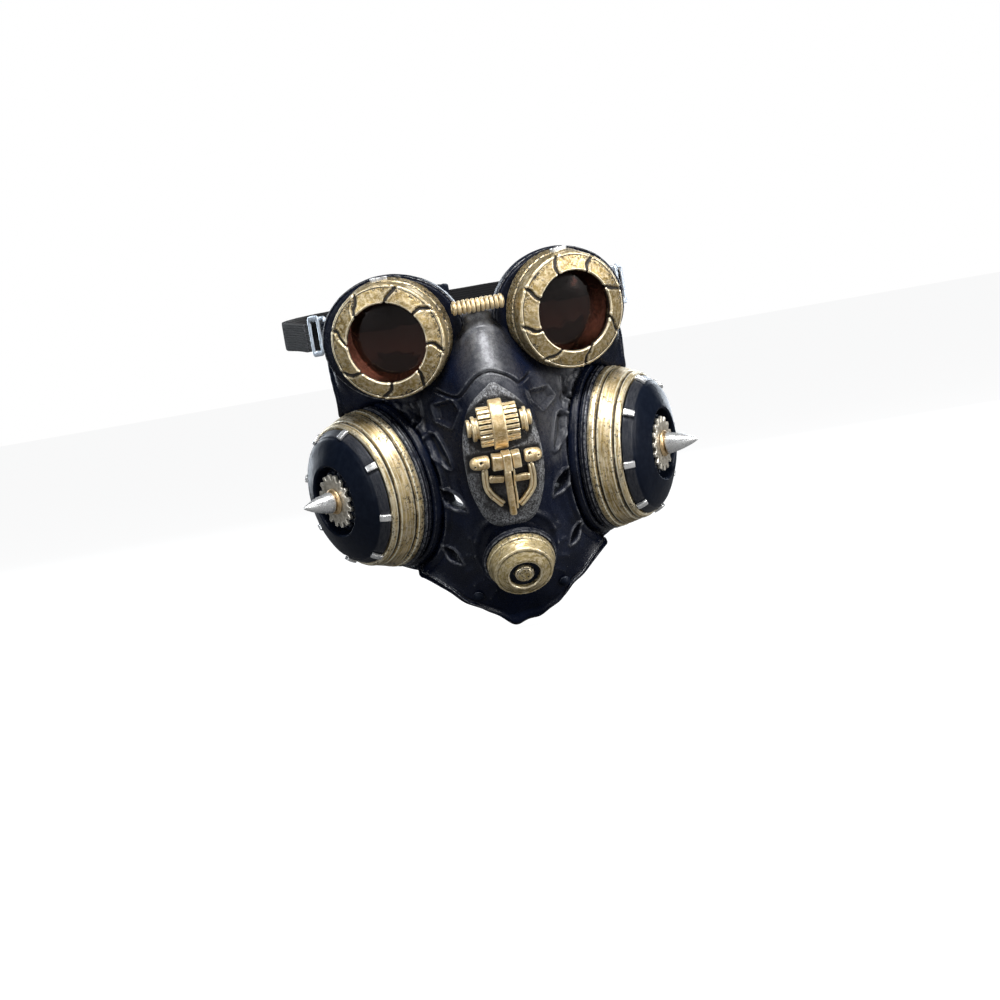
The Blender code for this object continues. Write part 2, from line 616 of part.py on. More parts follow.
wire("bail", bail_pts(1.25), 1.25, "antique_brass", res=2)
t0, t1 = on_plaque(0, -62.6, 3.9), on_plaque(0, -79.4, 2.6)
axis = (t1 - t0).normalized()
mt = frame_on((t0 + t1) / 2 + Vector((0, -1.3, -0.9)), Vector((0, axis.z, -axis.y)))
block("clasp_tongue", (3.5, (t1 - t0).length, 2.6), "antique_brass", mt, 0.5, 1)
c0 = on_plaque(0, -66.2, 1.2)
block("bail_crossbar", (14.6, 2.6, 1.6), "antique_brass", frame_on(c0, Vector((0, axis.z, -axis.y))), 0.4, 1)

# =============================================================================
# strap system
# =============================================================================
def vertical_frame(x, y, z, heading):
    """Local X along the strap's heading, local Z up, local Y outward."""
    return Matrix.Translation(Vector((x, y, z)) * MM) @ Matrix.Rotation(heading, 4, "Z")


LOOP_L, LOOP_H, LOOP_WIRE = 9.4, 16.5, 0.95
HEAD_PTS = [Vector(p) for p in ((73.0, -2.0, 8.8), (76.0, 24.0, 9.8), (74.0, 50.0, 10.8), (64.0, 76.0, 11.8), (47.0, 94.0, 12.4), (32.0, 100.4, 12.6), (26.0, 101.0, 12.7))]

for side in (1, -1):
    tag = NAME[side]
    ax = Vector((side * LOOP_AXIS.x, LOOP_AXIS.y, LOOP_AXIS.z))
    # the strap leaves the loop along this heading (mirror for the left)
    head = LOOP_DIR if side > 0 else math.pi - LOOP_DIR
    m = vertical_frame(ax.x, ax.y, ax.z, head)
    r = 1.0
    h, l = LOOP_H / 2 - LOOP_WIRE, LOOP_L
    corner = []
    for cx, cz, a0 in ((l - r, h - r, 0), (r, h - r, 90), (r, -h + r, 180), (l - r, -h + r, 270)):
        for k in range(3):
            a = math.radians(a0 + 45 * k)
            corner.append((cx + r * math.cos(a), 0.0, cz + r * math.sin(a)))
    wire(f"strap_loop_{tag}", corner, LOOP_WIRE, "steel", cyclic=True, res=2, matrix=m)
    # rubber tab: folded round the loop's front bar and fixed to the goggle housing's side
    tab = block(f"strap_tab_{tag}", (11.0, 3.6, 11.6), "black_rubber", shift(m, x=-3.2), 0.8, 2)
    cut(tab, hide_cutter(rod(f"cut_tab_{tag}", 30.0, LOOP_WIRE + 0.3, None, m, seg=14, coll=CUTTERS)))
    # stitched end of the elastic, folded round the loop's rear bar
    tail_len = 21.0
    rear = m @ Vector((LOOP_L * MM, 0, 0))
    mtail = Matrix.Translation(rear) @ Matrix.Rotation(TAIL_DIR if side > 0 else math.pi - TAIL_DIR, 4, "Z")
    tail = block(f"strap_tail_{tag}", (tail_len, 3.4, STRAP_W - 0.4), "elastic", shift(mtail, x=tail_len / 2 - 1.9), 0.6, 1)
    cut(tail, hide_cutter(rod(f"cut_tail_{tag}", 30.0, LOOP_WIRE + 0.3, None, shift(m, x=LOOP_L), seg=14, coll=CUTTERS)))

# the elastic round the back of the head: an upright ribbon, thickened
tail_end = (LOOP_AXIS + Vector((math.cos(LOOP_DIR), math.sin(LOOP_DIR), 0)) * LOOP_L
            + Vector((math.cos(TAIL_DIR), math.sin(TAIL_DIR), 0)) * (19.1 + 0.6))
right = catmull([tail_end] + HEAD_PTS, 3)
path = right + [Vector((-p.x, p.y, p.z)) for p in reversed(right)]
me = bpy.data.meshes.new("head_strap")
bm = bmesh.new()
bmesh.ops.create_grid(bm, x_segments=len(path) - 1, y_segments=1, size=1.0)
for v in bm.verts:
    i = round((v.co.x + 1) / 2 * (len(path) - 1))
    v.co = (path[i] + UP * (v.co.y * (STRAP_W - 0.4) / 2)) * MM
bm.to_mesh(me)
bm.free()
strap = put(bpy.data.objects.new("head_strap", me), "elastic")
so = strap.modifiers.new("wall", "SOLIDIFY")
so.thickness = STRAP_T * MM
so.offset = 0.0
so.use_even_offset = True

# adjuster: a flat frame that the strap runs through at the back of the head
ms = Matrix.Translation(Vector((0, 101.0, 12.7)) * MM)
slider = block("strap_slider", (13.0, 5.0, 19.4), "dark_paint", ms, 0.8, 1)
cut(slider, hide_cutter(block("cut_slider", (30.0, STRAP_T + 0.7, STRAP_W + 0.6), None, ms, coll=CUTTERS)))
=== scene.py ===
"""Looks of the steampunk half gas mask: camera, studio, detailed pieces and procedural finishes.

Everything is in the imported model's frame: +Z up, the mask faces -Y.  Shape numbers are
millimetres and are scaled once by MM when a mesh is made.
"""
import math

import bmesh
import bpy
import numpy as np
from mathutils import Matrix, Vector


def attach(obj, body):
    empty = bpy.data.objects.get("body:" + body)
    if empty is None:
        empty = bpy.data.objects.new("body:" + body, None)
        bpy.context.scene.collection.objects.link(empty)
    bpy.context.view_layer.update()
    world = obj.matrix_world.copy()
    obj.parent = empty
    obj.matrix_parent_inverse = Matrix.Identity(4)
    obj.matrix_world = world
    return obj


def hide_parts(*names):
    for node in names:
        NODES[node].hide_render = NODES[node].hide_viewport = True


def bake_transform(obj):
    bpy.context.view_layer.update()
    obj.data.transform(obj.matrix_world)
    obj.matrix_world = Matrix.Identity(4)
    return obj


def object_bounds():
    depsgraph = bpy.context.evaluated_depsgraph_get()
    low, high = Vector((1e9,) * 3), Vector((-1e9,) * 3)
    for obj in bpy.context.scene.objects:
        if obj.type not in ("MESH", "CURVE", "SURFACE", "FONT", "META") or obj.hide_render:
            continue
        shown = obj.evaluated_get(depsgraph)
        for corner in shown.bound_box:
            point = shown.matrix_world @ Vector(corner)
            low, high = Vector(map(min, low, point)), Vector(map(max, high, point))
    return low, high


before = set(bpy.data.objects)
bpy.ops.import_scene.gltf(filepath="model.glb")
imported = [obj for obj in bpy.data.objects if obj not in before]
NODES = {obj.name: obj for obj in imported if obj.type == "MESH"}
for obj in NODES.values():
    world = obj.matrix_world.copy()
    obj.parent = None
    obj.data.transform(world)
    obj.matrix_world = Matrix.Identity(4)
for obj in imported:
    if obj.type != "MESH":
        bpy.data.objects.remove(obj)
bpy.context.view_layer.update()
MM = 0.001
NAME = {1: "right", -1: "left"}


# =============================================================================
# small maths
# =============================================================================
def vec(*a):
    return np.array(a, float)


def direction(splay, tilt, side=1):
    s, t = math.radians(splay), math.radians(tilt)
    return vec(side * math.sin(s) * math.cos(t), -math.cos(s) * math.cos(t), -math.sin(t))


class Frame:
    """Local axes in mm: +Z is the normal, +Y is the nearest to up."""

    def __init__(self, origin, normal, side=1, up=(0, 0, 1)):
        self.o = vec(side * origin[0], origin[1], origin[2])
        self.z = np.asarray(normal, float) / np.linalg.norm(normal)
        x = np.cross(up, self.z)
        self.x = x / np.linalg.norm(x)
        self.y = np.cross(self.z, self.x)

    def out(self, p):
        p = np.asarray(p, float).reshape(-1, 3)
        return self.o + p[:, :1] * self.x + p[:, 1:2] * self.y + p[:, 2:3] * self.z

    def into(self, p):
        v = np.asarray(p, float).reshape(-1, 3) - self.o
        return np.stack([v @ self.x, v @ self.y, v @ self.z], 1)

    def moved(self, x=0.0, y=0.0, z=0.0):
        f = Frame((0, 0, 0), (0, 0, 1), up=(0, 1, 0))
        f.o, f.x, f.y, f.z = self.out((x, y, z))[0], self.x, self.y, self.z
        return f

    def turned(self, deg, about="z"):
        f = self.moved()
        c, s = math.cos(math.radians(deg)), math.sin(math.radians(deg))
        if about == "z":
            f.x, f.y = self.x * c + self.y * s, self.y * c - self.x * s
        elif about == "y":
            f.z, f.x = self.z * c + self.x * s, self.x * c - self.z * s
        else:
            f.y, f.z = self.y * c + self.z * s, self.z * c - self.y * s
        return f


def axes(origin, x, y, z):
    f = Frame((0, 0, 0), (0, 0, 1), up=(0, 1, 0))
    f.o, f.x, f.y, f.z = (np.asarray(a, float) for a in (origin, x, y, z))
    return f


def pnoise(p, seed=0):
    """Gradient noise of an (n, 3) array, about -1..1."""
    p = np.asarray(p, float)
    i = np.floor(p).astype(np.int64)
    f = p - i
    u = f * f * f * (f * (f * 6 - 15) + 10)
    total = np.zeros(len(p))
    for dx in (0, 1):
        for dy in (0, 1):
            for dz in (0, 1):
                h = (i[:, 0] + dx) * 73856093 ^ (i[:, 1] + dy) * 19349663 ^ (i[:, 2] + dz) * 83492791 ^ (seed * 7919 + 17)
                h = (h ^ (h >> 13)) * 1274126177
                h = (h ^ (h >> 16)) & 0xFFFFF
                a = (h & 1023) * (2 * math.pi / 1024)
                b = ((h >> 10) & 1023) / 511.5 - 1
                q = np.sqrt(np.maximum(0, 1 - b * b))
                g = (f[:, 0] - dx) * q * np.cos(a) + (f[:, 1] - dy) * q * np.sin(a) + (f[:, 2] - dz) * b
                w = (u[:, 0] if dx else 1 - u[:, 0]) * (u[:, 1] if dy else 1 - u[:, 1]) * (u[:, 2] if dz else 1 - u[:, 2])
                total += w * g
    return total * 1.5


def smoothstep(x, lo, hi):
    t = np.clip((np.asarray(x, float) - lo) / (hi - lo), 0, 1)
    return t * t * (3 - 2 * t)


def path_dist(px, pz, path):
    """Distance of points to a polyline in a plane, and the share of its length at the foot."""
    path = np.asarray(path, float)
    best = np.full(len(px), 1e9)
    along = np.zeros(len(px))
    seg = np.linalg.norm(np.diff(path, axis=0), axis=1)
    start = np.concatenate([[0], np.cumsum(seg)])
    for k in range(len(path) - 1):
        a, b = path[k], path[k + 1]
        d = b - a
        t = np.clip(((px - a[0]) * d[0] + (pz - a[1]) * d[1]) / max(d @ d, 1e-9), 0, 1)
        r = np.hypot(px - a[0] - t * d[0], pz - a[1] - t * d[1])
        near = r < best
        best = np.where(near, r, best)
        along = np.where(near, (start[k] + t * seg[k]) / start[-1], along)
    return best, along


def poly_sd(px, pz, poly):
    """Signed distance to a closed outline, negative inside."""
    poly = np.asarray(poly, float)
    d, _ = path_dist(px, pz, np.vstack([poly, poly[:1]]))
    inside = np.zeros(len(px), bool)
    n = len(poly)
    for k in range(n):
        x0, z0 = poly[k]
        x1, z1 = poly[(k + 1) % n]
        cross = ((z0 > pz) != (z1 > pz)) & (px < (x1 - x0) * (pz - z0) / ((z1 - z0) if abs(z1 - z0) > 1e-12 else 1e-12) + x0)
        inside ^= cross
    return np.where(inside, -d, d)


def curve_through(pts, per=6, closed=False):
    """Catmull-Rom curve through points."""
    pts = [np.asarray(p, float) for p in pts]
    n = len(pts)
    out = []
    for i in range(n if closed else n - 1):
        if closed:
            p0, p1, p2, p3 = pts[(i - 1) % n], pts[i], pts[(i + 1) % n], pts[(i + 2) % n]
        else:
            p0, p1, p2, p3 = pts[max(i - 1, 0)], pts[i], pts[i + 1], pts[min(i + 2, n - 1)]
        for k in range(per):
            t = k / per
            out.append(0.5 * (2 * p1 + (p2 - p0) * t + (2 * p0 - 5 * p1 + 4 * p2 - p3) * t * t + (3 * p1 - p0 - 3 * p2 + p3) * t ** 3))
    if not closed:
        out.append(pts[-1])
    return np.array(out)


# =============================================================================
# profiles and meshes
# =============================================================================
def soften(pts, rad=0.35, n=3, closed=True):
    pts = [np.asarray(p, float) for p in pts]
    out = []
    for i, p in enumerate(pts):
        if not closed and i in (0, len(pts) - 1):
            out.append(p)
            continue
        a, b = pts[i - 1], pts[(i + 1) % len(pts)]
        la, lb = np.linalg.norm(a - p), np.linalg.norm(b - p)
        t = min(rad, 0.42 * la, 0.42 * lb)
        p0, p1 = p + (a - p) / la * t, p + (b - p) / lb * t
        for k in range(n + 1):
            s = k / n
            out.append((1 - s) ** 2 * p0 + 2 * s * (1 - s) * p + s * s * p1)
    return out


def fine(pts, step=0.7, closed=True):
    out = []
    n = len(pts)
    for i in range(n if closed else n - 1):
        a, b = pts[i], pts[(i + 1) % n]
        k = max(1, math.ceil(np.linalg.norm(b - a) / step))
        for j in range(k):
            out.append(a + (b - a) * j / k)
    if not closed:
        out.append(pts[-1])
    return np.array(out)


def mesh_of(name, verts, faces):
    me = bpy.data.meshes.new(name)
    me.from_pydata((np.asarray(verts, float) * MM).tolist(), [], faces)
    me.update()
    ob = bpy.data.objects.new(name, me)
    bpy.context.scene.collection.objects.link(ob)
    return ob


def outward(ob):
    bm = bmesh.new()
    bm.from_mesh(ob.data)
    bmesh.ops.recalc_face_normals(bm, faces=bm.faces)
    bm.to_mesh(ob.data)
    bm.free()
    ob.data.update()
    return ob


def grid_faces(rows, cols, wrap_r=False, wrap_c=False, base=0):
    r = np.arange(rows if wrap_r else rows - 1)
    c = np.arange(cols if wrap_c else cols - 1)
    rr, cc = np.meshgrid(r, c, indexing="ij")
    r1, c1 = (rr + 1) % rows, (cc + 1) % cols
    q = np.stack([rr * cols + cc, rr * cols + c1, r1 * cols + c1, r1 * cols + cc], -1).reshape(-1, 4) + base
    return q.tolist()


def lathe(name, profile, fr, seg=144, closed=True, warp=None, rad=0.35, step=0.7, n=3):
    """Turned body about fr's Z axis.  Profile points are (radius, height)."""
    prof = fine(soften(profile, rad, n, closed), step, closed)
    ang = np.arange(seg) * 2 * math.pi / seg
    first = not closed and prof[0, 0] < 1e-6
    last = not closed and prof[-1, 0] < 1e-6
    rows = prof[(1 if first else 0):(len(prof) - 1 if last else len(prof))]
    local = np.zeros((len(rows), seg, 3))
    local[:, :, 0] = rows[:, :1] * np.cos(ang)
    local[:, :, 1] = rows[:, :1] * np.sin(ang)
    local[:, :, 2] = rows[:, 1:2]
    local = local.reshape(-1, 3)
    faces = grid_faces(len(rows), seg, wrap_r=closed, wrap_c=True)
    extra = []
    if first:
        extra.append((0, 0, prof[0, 1]))
        k = len(local)
        faces += [[k, (j + 1) % seg, j] for j in range(seg)]
    if last:
        extra.append((0, 0, prof[-1, 1]))
        k = len(local) + (1 if first else 0)
        b = (len(rows) - 1) * seg
        faces += [[k, b + j, b + (j + 1) % seg] for j in range(seg)]
    if extra:
        local = np.vstack([local, np.array(extra)])
    if warp is not None:
        local = warp(local)
    ob = mesh_of(name, fr.out(local), faces)
    outward(ob)
    put_vector(ob, "loc", local)
    return ob


def block(name, size, fr, bevel=0.5, seg=3, cuts=3, shape=None):
    """Box with rounded edges and enough inner vertices to be shaped."""
    me = bpy.data.meshes.new(name)
    bm = bmesh.new()
    bmesh.ops.create_cube(bm, size=1.0)
    bmesh.ops.scale(bm, vec=Vector(size), verts=bm.verts)
    bmesh.ops.bevel(bm, geom=list(bm.edges), offset=bevel, segments=seg, affect="EDGES", profile=0.6)
    if cuts:
        long = [e for e in bm.edges if e.calc_length() > 2.2 * max(bevel, 0.3)]
        bmesh.ops.subdivide_edges(bm, edges=long, cuts=cuts, use_grid_fill=True)
    bm.to_mesh(me)
    bm.free()
    co = verts_of(me)
    local = co.copy()
    if shape is not None:
        local = shape(local)
    set_verts(me, fr.out(local) * MM)
    ob = bpy.data.objects.new(name, me)
    bpy.context.scene.collection.objects.link(ob)
    outward(ob)
    put_vector(ob, "loc", local)
    return ob


def verts_of(me):
    co = np.zeros(len(me.vertices) * 3)
    me.vertices.foreach_get("co", co)
    return co.reshape(-1, 3)


def set_verts(me, co):
    me.vertices.foreach_set("co", np.ascontiguousarray(co, dtype=np.float32).ravel())
    me.update()


def put_float(ob, name, values):
    a = ob.data.attributes.get(name) or ob.data.attributes.new(name, "FLOAT", "POINT")
    a.data.foreach_set("value", np.ascontiguousarray(values, dtype=np.float32))


def put_vector(ob, name, values):
    a = ob.data.attributes.get(name) or ob.data.attributes.new(name, "FLOAT_VECTOR", "POINT")
    a.data.foreach_set("vector", np.ascontiguousarray(values, dtype=np.float32).ravel())


def normals_of(me):
    n = np.zeros(len(me.vertices) * 3, np.float32)
    me.vertex_normals.foreach_get("vector", n)
    return n.reshape(-1, 3).astype(float)


def edges_of(me):
    e = np.zeros(len(me.edges) * 2, np.int32)
    me.edges.foreach_get("vertices", e)
    return e.reshape(-1, 2)


def blur(values, e, times):
    n = len(values)
    count = np.bincount(e[:, 0], minlength=n) + np.bincount(e[:, 1], minlength=n)
    for _ in range(times):
        s = np.bincount(e[:, 0], weights=values[e[:, 1]], minlength=n) + np.bincount(e[:, 1], weights=values[e[:, 0]], minlength=n)
        values = 0.5 * values + 0.5 * s / np.maximum(count, 1)
    return values


def tag_curvature(ob, gain=0.55, times=2):
    """Vertex attribute curv: +1 on sharp convex edges, -1 in sharp creases."""
    me = ob.data
    co, nn, e = verts_of(me) / MM, normals_of(me), edges_of(me)
    d = co[e[:, 1]] - co[e[:, 0]]
    l2 = np.maximum((d * d).sum(1), 1e-6)
    k0 = -2 * (d * nn[e[:, 0]]).sum(1) / l2
    k1 = 2 * (d * nn[e[:, 1]]).sum(1) / l2
    n = len(co)
    total = np.bincount(e[:, 0], weights=k0, minlength=n) + np.bincount(e[:, 1], weights=k1, minlength=n)
    count = np.bincount(e[:, 0], minlength=n) + np.bincount(e[:, 1], minlength=n)
    k = np.clip(total / np.maximum(count, 1) * gain, -1.5, 1.5)
    put_float(ob, "curv", np.clip(blur(k, e, times), -1, 1))
    return ob


def wobble(ob, amp=0.12, size=7.0, seed=1, fine_amp=0.0, fine_size=1.5):
    """Hand-moulded unevenness along the normals."""
    me = ob.data
    co, nn = verts_of(me) / MM, normals_of(me)
    h = amp * pnoise(co / size, seed)
    if fine_amp:
        h += fine_amp * pnoise(co / fine_size, seed + 5)
    set_verts(me, (co + nn * h[:, None]) * MM)
    return ob


def evaluated(ob):
    """Replace an object's mesh by its evaluated one and drop its modifiers."""
    bpy.context.view_layer.update()
    dg = bpy.context.evaluated_depsgraph_get()
    me = bpy.data.meshes.new_from_object(ob.evaluated_get(dg))
    ob.modifiers.clear()
    ob.data = me
    return ob


def joined(name, obs):
    """One mesh from several, keeping their loc and mark attributes (zero where a piece has none)."""
    verts, faces, base = [], [], 0
    keep = {}
    for ob in obs:
        me = ob.data
        co = verts_of(me)
        verts.append(co)
        faces += [[v + base for v in p.vertices] for p in me.polygons]
        for key in ("loc", "mark"):
            a = me.attributes.get(key)
            if a is None:
                arr = np.zeros((len(co), 3 if key == "loc" else 1), np.float32)
            elif key == "loc":
                arr = np.zeros(len(co) * 3, np.float32)
                a.data.foreach_get("vector", arr)
                arr = arr.reshape(-1, 3)
            else:
                arr = np.zeros(len(co), np.float32)
                a.data.foreach_get("value", arr)
                arr = arr.reshape(-1, 1)
            keep.setdefault(key, []).append(arr)
        base += len(co)
    new = mesh_of(name, np.vstack(verts) / MM, faces)
    put_vector(new, "loc", np.vstack(keep["loc"]))
    put_float(new, "mark", np.vstack(keep["mark"]).ravel())
    for ob in obs:
        bpy.data.objects.remove(ob, do_unlink=True)
    return new


def settle(ob, mat, body, slot, *nodes, sharp=55.0, gain=0.55, times=2):
    """Finish a piece: curvature, material, shading, body, and the nodes that it stands for."""
    tag_curvature(ob, gain, times)
    ob.data.materials.clear()
    ob.data.materials.append(mat)
    ob.data.shade_smooth()
    if sharp:
        ob.data.set_sharp_from_angle(angle=math.radians(sharp))
    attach(ob, body)
    if nodes:
        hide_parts(*nodes)
    return ob


# =============================================================================
# materials
# =============================================================================
class Mat:
    def __init__(self, name):
        self.m = bpy.data.materials.new(name)
        self.m.use_nodes = True
        self.t = self.m.node_tree
        self.p = self.t.nodes["Principled BSDF"]

    def put(self, sock, v):
        if isinstance(v, bpy.types.NodeSocket):
            self.t.links.new(v, sock)
        elif isinstance(v, (tuple, list)) and len(v) == 3 and sock.type == "RGBA":
            sock.default_value = (*v, 1.0)
        else:
            sock.default_value = v

    def set(self, **kw):
        for k, v in kw.items():
            self.put(self.p.inputs[k.replace("_", " ")], v)
        return self

    def attr(self, name, out="Fac"):
        n = self.t.nodes.new("ShaderNodeAttribute")
        n.attribute_name = name
        return n.outputs[out]

    def obj(self, scale=(1, 1, 1)):
        """Object coordinates in millimetres, scaled."""
        c = self.t.nodes.new("ShaderNodeTexCoord")
        m = self.t.nodes.new("ShaderNodeMapping")
        self.t.links.new(c.outputs["Object"], m.inputs["Vector"])
        m.inputs["Scale"].default_value = tuple(1000 * s for s in scale)
        return m.outputs[0]

    def loc(self, scale=(1, 1, 1), rot=(0, 0, 0)):
        """The piece's own axes in millimetres, scaled."""
        m = self.t.nodes.new("ShaderNodeMapping")
        self.t.links.new(self.attr("loc", "Vector"), m.inputs["Vector"])
        m.inputs["Scale"].default_value = scale
        m.inputs["Rotation"].default_value = rot
        return m.outputs[0]

    def noise(self, v, scale=1.0, detail=3.0, rough=0.5, dist=0.0):
        n = self.t.nodes.new("ShaderNodeTexNoise")
        self.t.links.new(v, n.inputs["Vector"])
        n.inputs["Scale"].default_value = scale
        n.inputs["Detail"].default_value = detail
        n.inputs["Roughness"].default_value = rough
        n.inputs["Distortion"].default_value = dist
        return n.outputs["Fac"]

    def voronoi(self, v, scale=1.0, feature="F1", out="Distance"):
        n = self.t.nodes.new("ShaderNodeTexVoronoi")
        n.feature = feature
        self.t.links.new(v, n.inputs["Vector"])
        n.inputs["Scale"].default_value = scale
        return n.outputs[out]

    def wave(self, v, scale, direction="X", profile="SIN", dist=0.0, detail=0.0, kind="BANDS"):
        n = self.t.nodes.new("ShaderNodeTexWave")
        n.wave_type = kind
        n.bands_direction = direction
        n.wave_profile = profile
        self.t.links.new(v, n.inputs["Vector"])
        n.inputs["Scale"].default_value = scale
        n.inputs["Distortion"].default_value = dist
        n.inputs["Detail"].default_value = detail
        return n.outputs["Fac"]

    def math(self, op, a, b=0.0, c=0.0, clamp=False):
        n = self.t.nodes.new("ShaderNodeMath")
        n.operation = op
        n.use_clamp = clamp
        self.put(n.inputs[0], a)
        self.put(n.inputs[1], b)
        if len(n.inputs) > 2:
            self.put(n.inputs[2], c)
        return n.outputs[0]

    def mul(self, a, b):
        return self.math("MULTIPLY", a, b)

    def add(self, a, b):
        return self.math("ADD", a, b)

    def sub(self, a, b):
        return self.math("SUBTRACT", a, b)

    def top(self, a, b):
        return self.math("MAXIMUM", a, b)

    def step(self, x, lo, hi, a=0.0, b=1.0):
        n = self.t.nodes.new("ShaderNodeMapRange")
        n.interpolation_type = "SMOOTHSTEP"
        self.put(n.inputs["Value"], x)
        n.inputs["From Min"].default_value = lo
        n.inputs["From Max"].default_value = hi
        n.inputs["To Min"].default_value = a
        n.inputs["To Max"].default_value = b
        return n.outputs[0]

    def mix(self, f, a, b):
        n = self.t.nodes.new("ShaderNodeMix")
        n.data_type = "RGBA"
        self.put(n.inputs[0], f)
        self.put(n.inputs[6], a)
        self.put(n.inputs[7], b)
        return n.outputs[2]

    def sep(self, v):
        n = self.t.nodes.new("ShaderNodeSeparateXYZ")
        self.t.links.new(v, n.inputs[0])
        return n.outputs

    def bump(self, h, dist=0.0002, strength=1.0, normal=None):
        n = self.t.nodes.new("ShaderNodeBump")
        n.inputs["Distance"].default_value = dist
        n.inputs["Strength"].default_value = strength
        self.put(n.inputs["Height"], h)
        if normal is not None:
            self.put(n.inputs["Normal"], normal)
        self.t.links.new(n.outputs[0], self.p.inputs["Normal"])
        return n.outputs[0]


def mat_rubber(name, black=(0.0016, 0.0029, 0.0085), graphite=(0.085, 0.088, 0.098), worn=(0.42, 0.43, 0.45), rough=0.26, brush_gain=1.0, wear=1.0):
    """Black latex, airbrushed graphite where mark is set, silver rubbed on its raised edges; a painted silver highlight
    where mark is highest (the nose) and painted shade in the creases.
    """
    m = Mat(name)
    o = m.obj()
    big = m.noise(o, 0.07, 2.0)
    mid = m.noise(o, 0.45, 4.0, 0.6)
    grain = m.noise(o, 2.6, 3.0, 0.65)
    curv = m.attr("curv")
    mark = m.attr("mark")
    base = m.mix(m.step(big, 0.35, 0.7), black, tuple(2.0 * c for c in black))
    spray = m.mul(mark, m.step(m.add(m.mul(grain, 0.55), m.mul(mid, 0.45)), 0.34, 0.66, 0.35, 1.0))
    spray = m.mul(spray, brush_gain)
    base = m.mix(spray, base, graphite)
    # painted highlight: where mark is highest (the nose) the graphite turns silvery, standing in for the highlight on
    # the nose bridge
    nose_silver_highlight = m.mul(m.step(mark, 0.70, 0.95), m.step(m.add(m.mul(grain, 0.45), m.mul(mid, 0.55)), 0.34, 0.62, 0.35, 1.0))
    base = m.mix(m.mul(nose_silver_highlight, 0.60), base, (0.33, 0.335, 0.35))
    edge = m.mul(m.step(curv, 0.22, 0.75), m.step(m.add(m.mul(grain, 0.5), m.mul(mid, 0.5)), 0.42, 0.60))
    edge = m.mul(edge, 0.8 * wear)
    base = m.mix(edge, base, worn)
    # painted shade: creases are darkened to near-black
    crease_shade = m.step(curv, -0.12, -0.55)
    base = m.mix(crease_shade, base, (0.003, 0.003, 0.005))
    m.set(Base_Color=base, Metallic=m.add(m.add(m.mul(edge, 0.5), m.mul(spray, 0.15)), m.mul(nose_silver_highlight, 0.35)),
          Roughness=m.add(m.step(m.add(m.mul(mid, 0.6), m.mul(grain, 0.4)), 0.3, 0.7, rough - 0.05, rough + 0.08), m.mul(crease_shade, 0.15)), Specular_IOR_Level=0.19)
    m.bump(m.add(m.mul(grain, 0.45), m.mul(mid, 0.55)), 0.00040, 0.65)
    return m.m


def mat_gold(name, deep=(0.30, 0.205, 0.065), mid_c=(0.56, 0.415, 0.185), cream=(0.90, 0.80, 0.60), speckle=0.5, streak=(0.5, 0.5, 2.0), metal=0.66, rough=0.36, wear=1.0, dark=1.0):
    """Cream-gold paint dry-brushed over black: dark creases (the black under the brush, plus painted crease shade),
    rubbed bright edges, clumps of speckles.
    """
    m = Mat(name)
    o = m.obj()
    loc = m.loc(streak)
    curv = m.attr("curv")
    mark = m.attr("mark")
    big = m.noise(o, 0.11, 2.0)
    mid = m.noise(o, 0.55, 4.0, 0.6)
    brushed = m.noise(loc, 1.0, 4.0, 0.7)
    tiny = m.noise(o, 0.95, 4.0, 0.75)
    base = m.mix(m.step(m.add(m.mul(big, 0.65), m.mul(brushed, 0.35)), 0.36, 0.62), deep, mid_c)
    base = m.mix(m.mul(m.step(m.add(m.mul(mid, 0.2), m.mul(brushed, 0.8)), 0.42, 0.64), 0.6), base, cream)
    rub = m.mul(m.step(curv, 0.10, 0.50), wear)
    base = m.mix(rub, base, tuple(min(1.0, c * 1.12) for c in cream))
    # speckles: fine grains that come in clumps, and a dark wash held in the creases, which is both the black under the
    # brush and painted crease shade
    clump = m.step(m.add(m.mul(m.noise(o, 0.20, 4.0, 0.65, 0.4), 0.75), m.mul(mark, 0.42)), 0.345, 0.58)
    grains = m.step(tiny, 0.575 - 0.05 * speckle, 0.625 - 0.05 * speckle)
    spots = m.mul(m.mul(grains, clump), m.step(curv, 0.8, 0.35))
    fleck = m.mul(m.step(brushed, 0.62, 0.68), m.step(mid, 0.48, 0.58))
    wash_and_shade = m.step(m.add(curv, m.mul(m.sub(mid, 0.5), 0.25)), -0.04, -0.30)
    black = m.top(m.top(spots, m.mul(fleck, 0.8 * speckle)), m.mul(wash_and_shade, dark))
    # mark near 1 turns the paint black: the goggle bores and cracks, and the painted shade that the mechanism pieces
    # carry in their rib gaps, drilled holes and along the plaque
    black = m.top(black, m.step(mark, 0.85, 1.0))
    base = m.mix(black, base, (0.012, 0.009, 0.006))
    m.set(Base_Color=base, Metallic=m.mul(m.sub(1.0, black), metal),
          Roughness=m.add(m.step(m.add(m.mul(mid, 0.5), m.mul(brushed, 0.5)), 0.3, 0.7, rough - 0.06, rough + 0.12), m.mul(black, 0.15)))
    m.bump(m.sub(m.add(m.mul(mid, 0.5), m.mul(brushed, 0.35)), m.mul(black, 0.25)), 0.0003, 0.6)
    return m.m


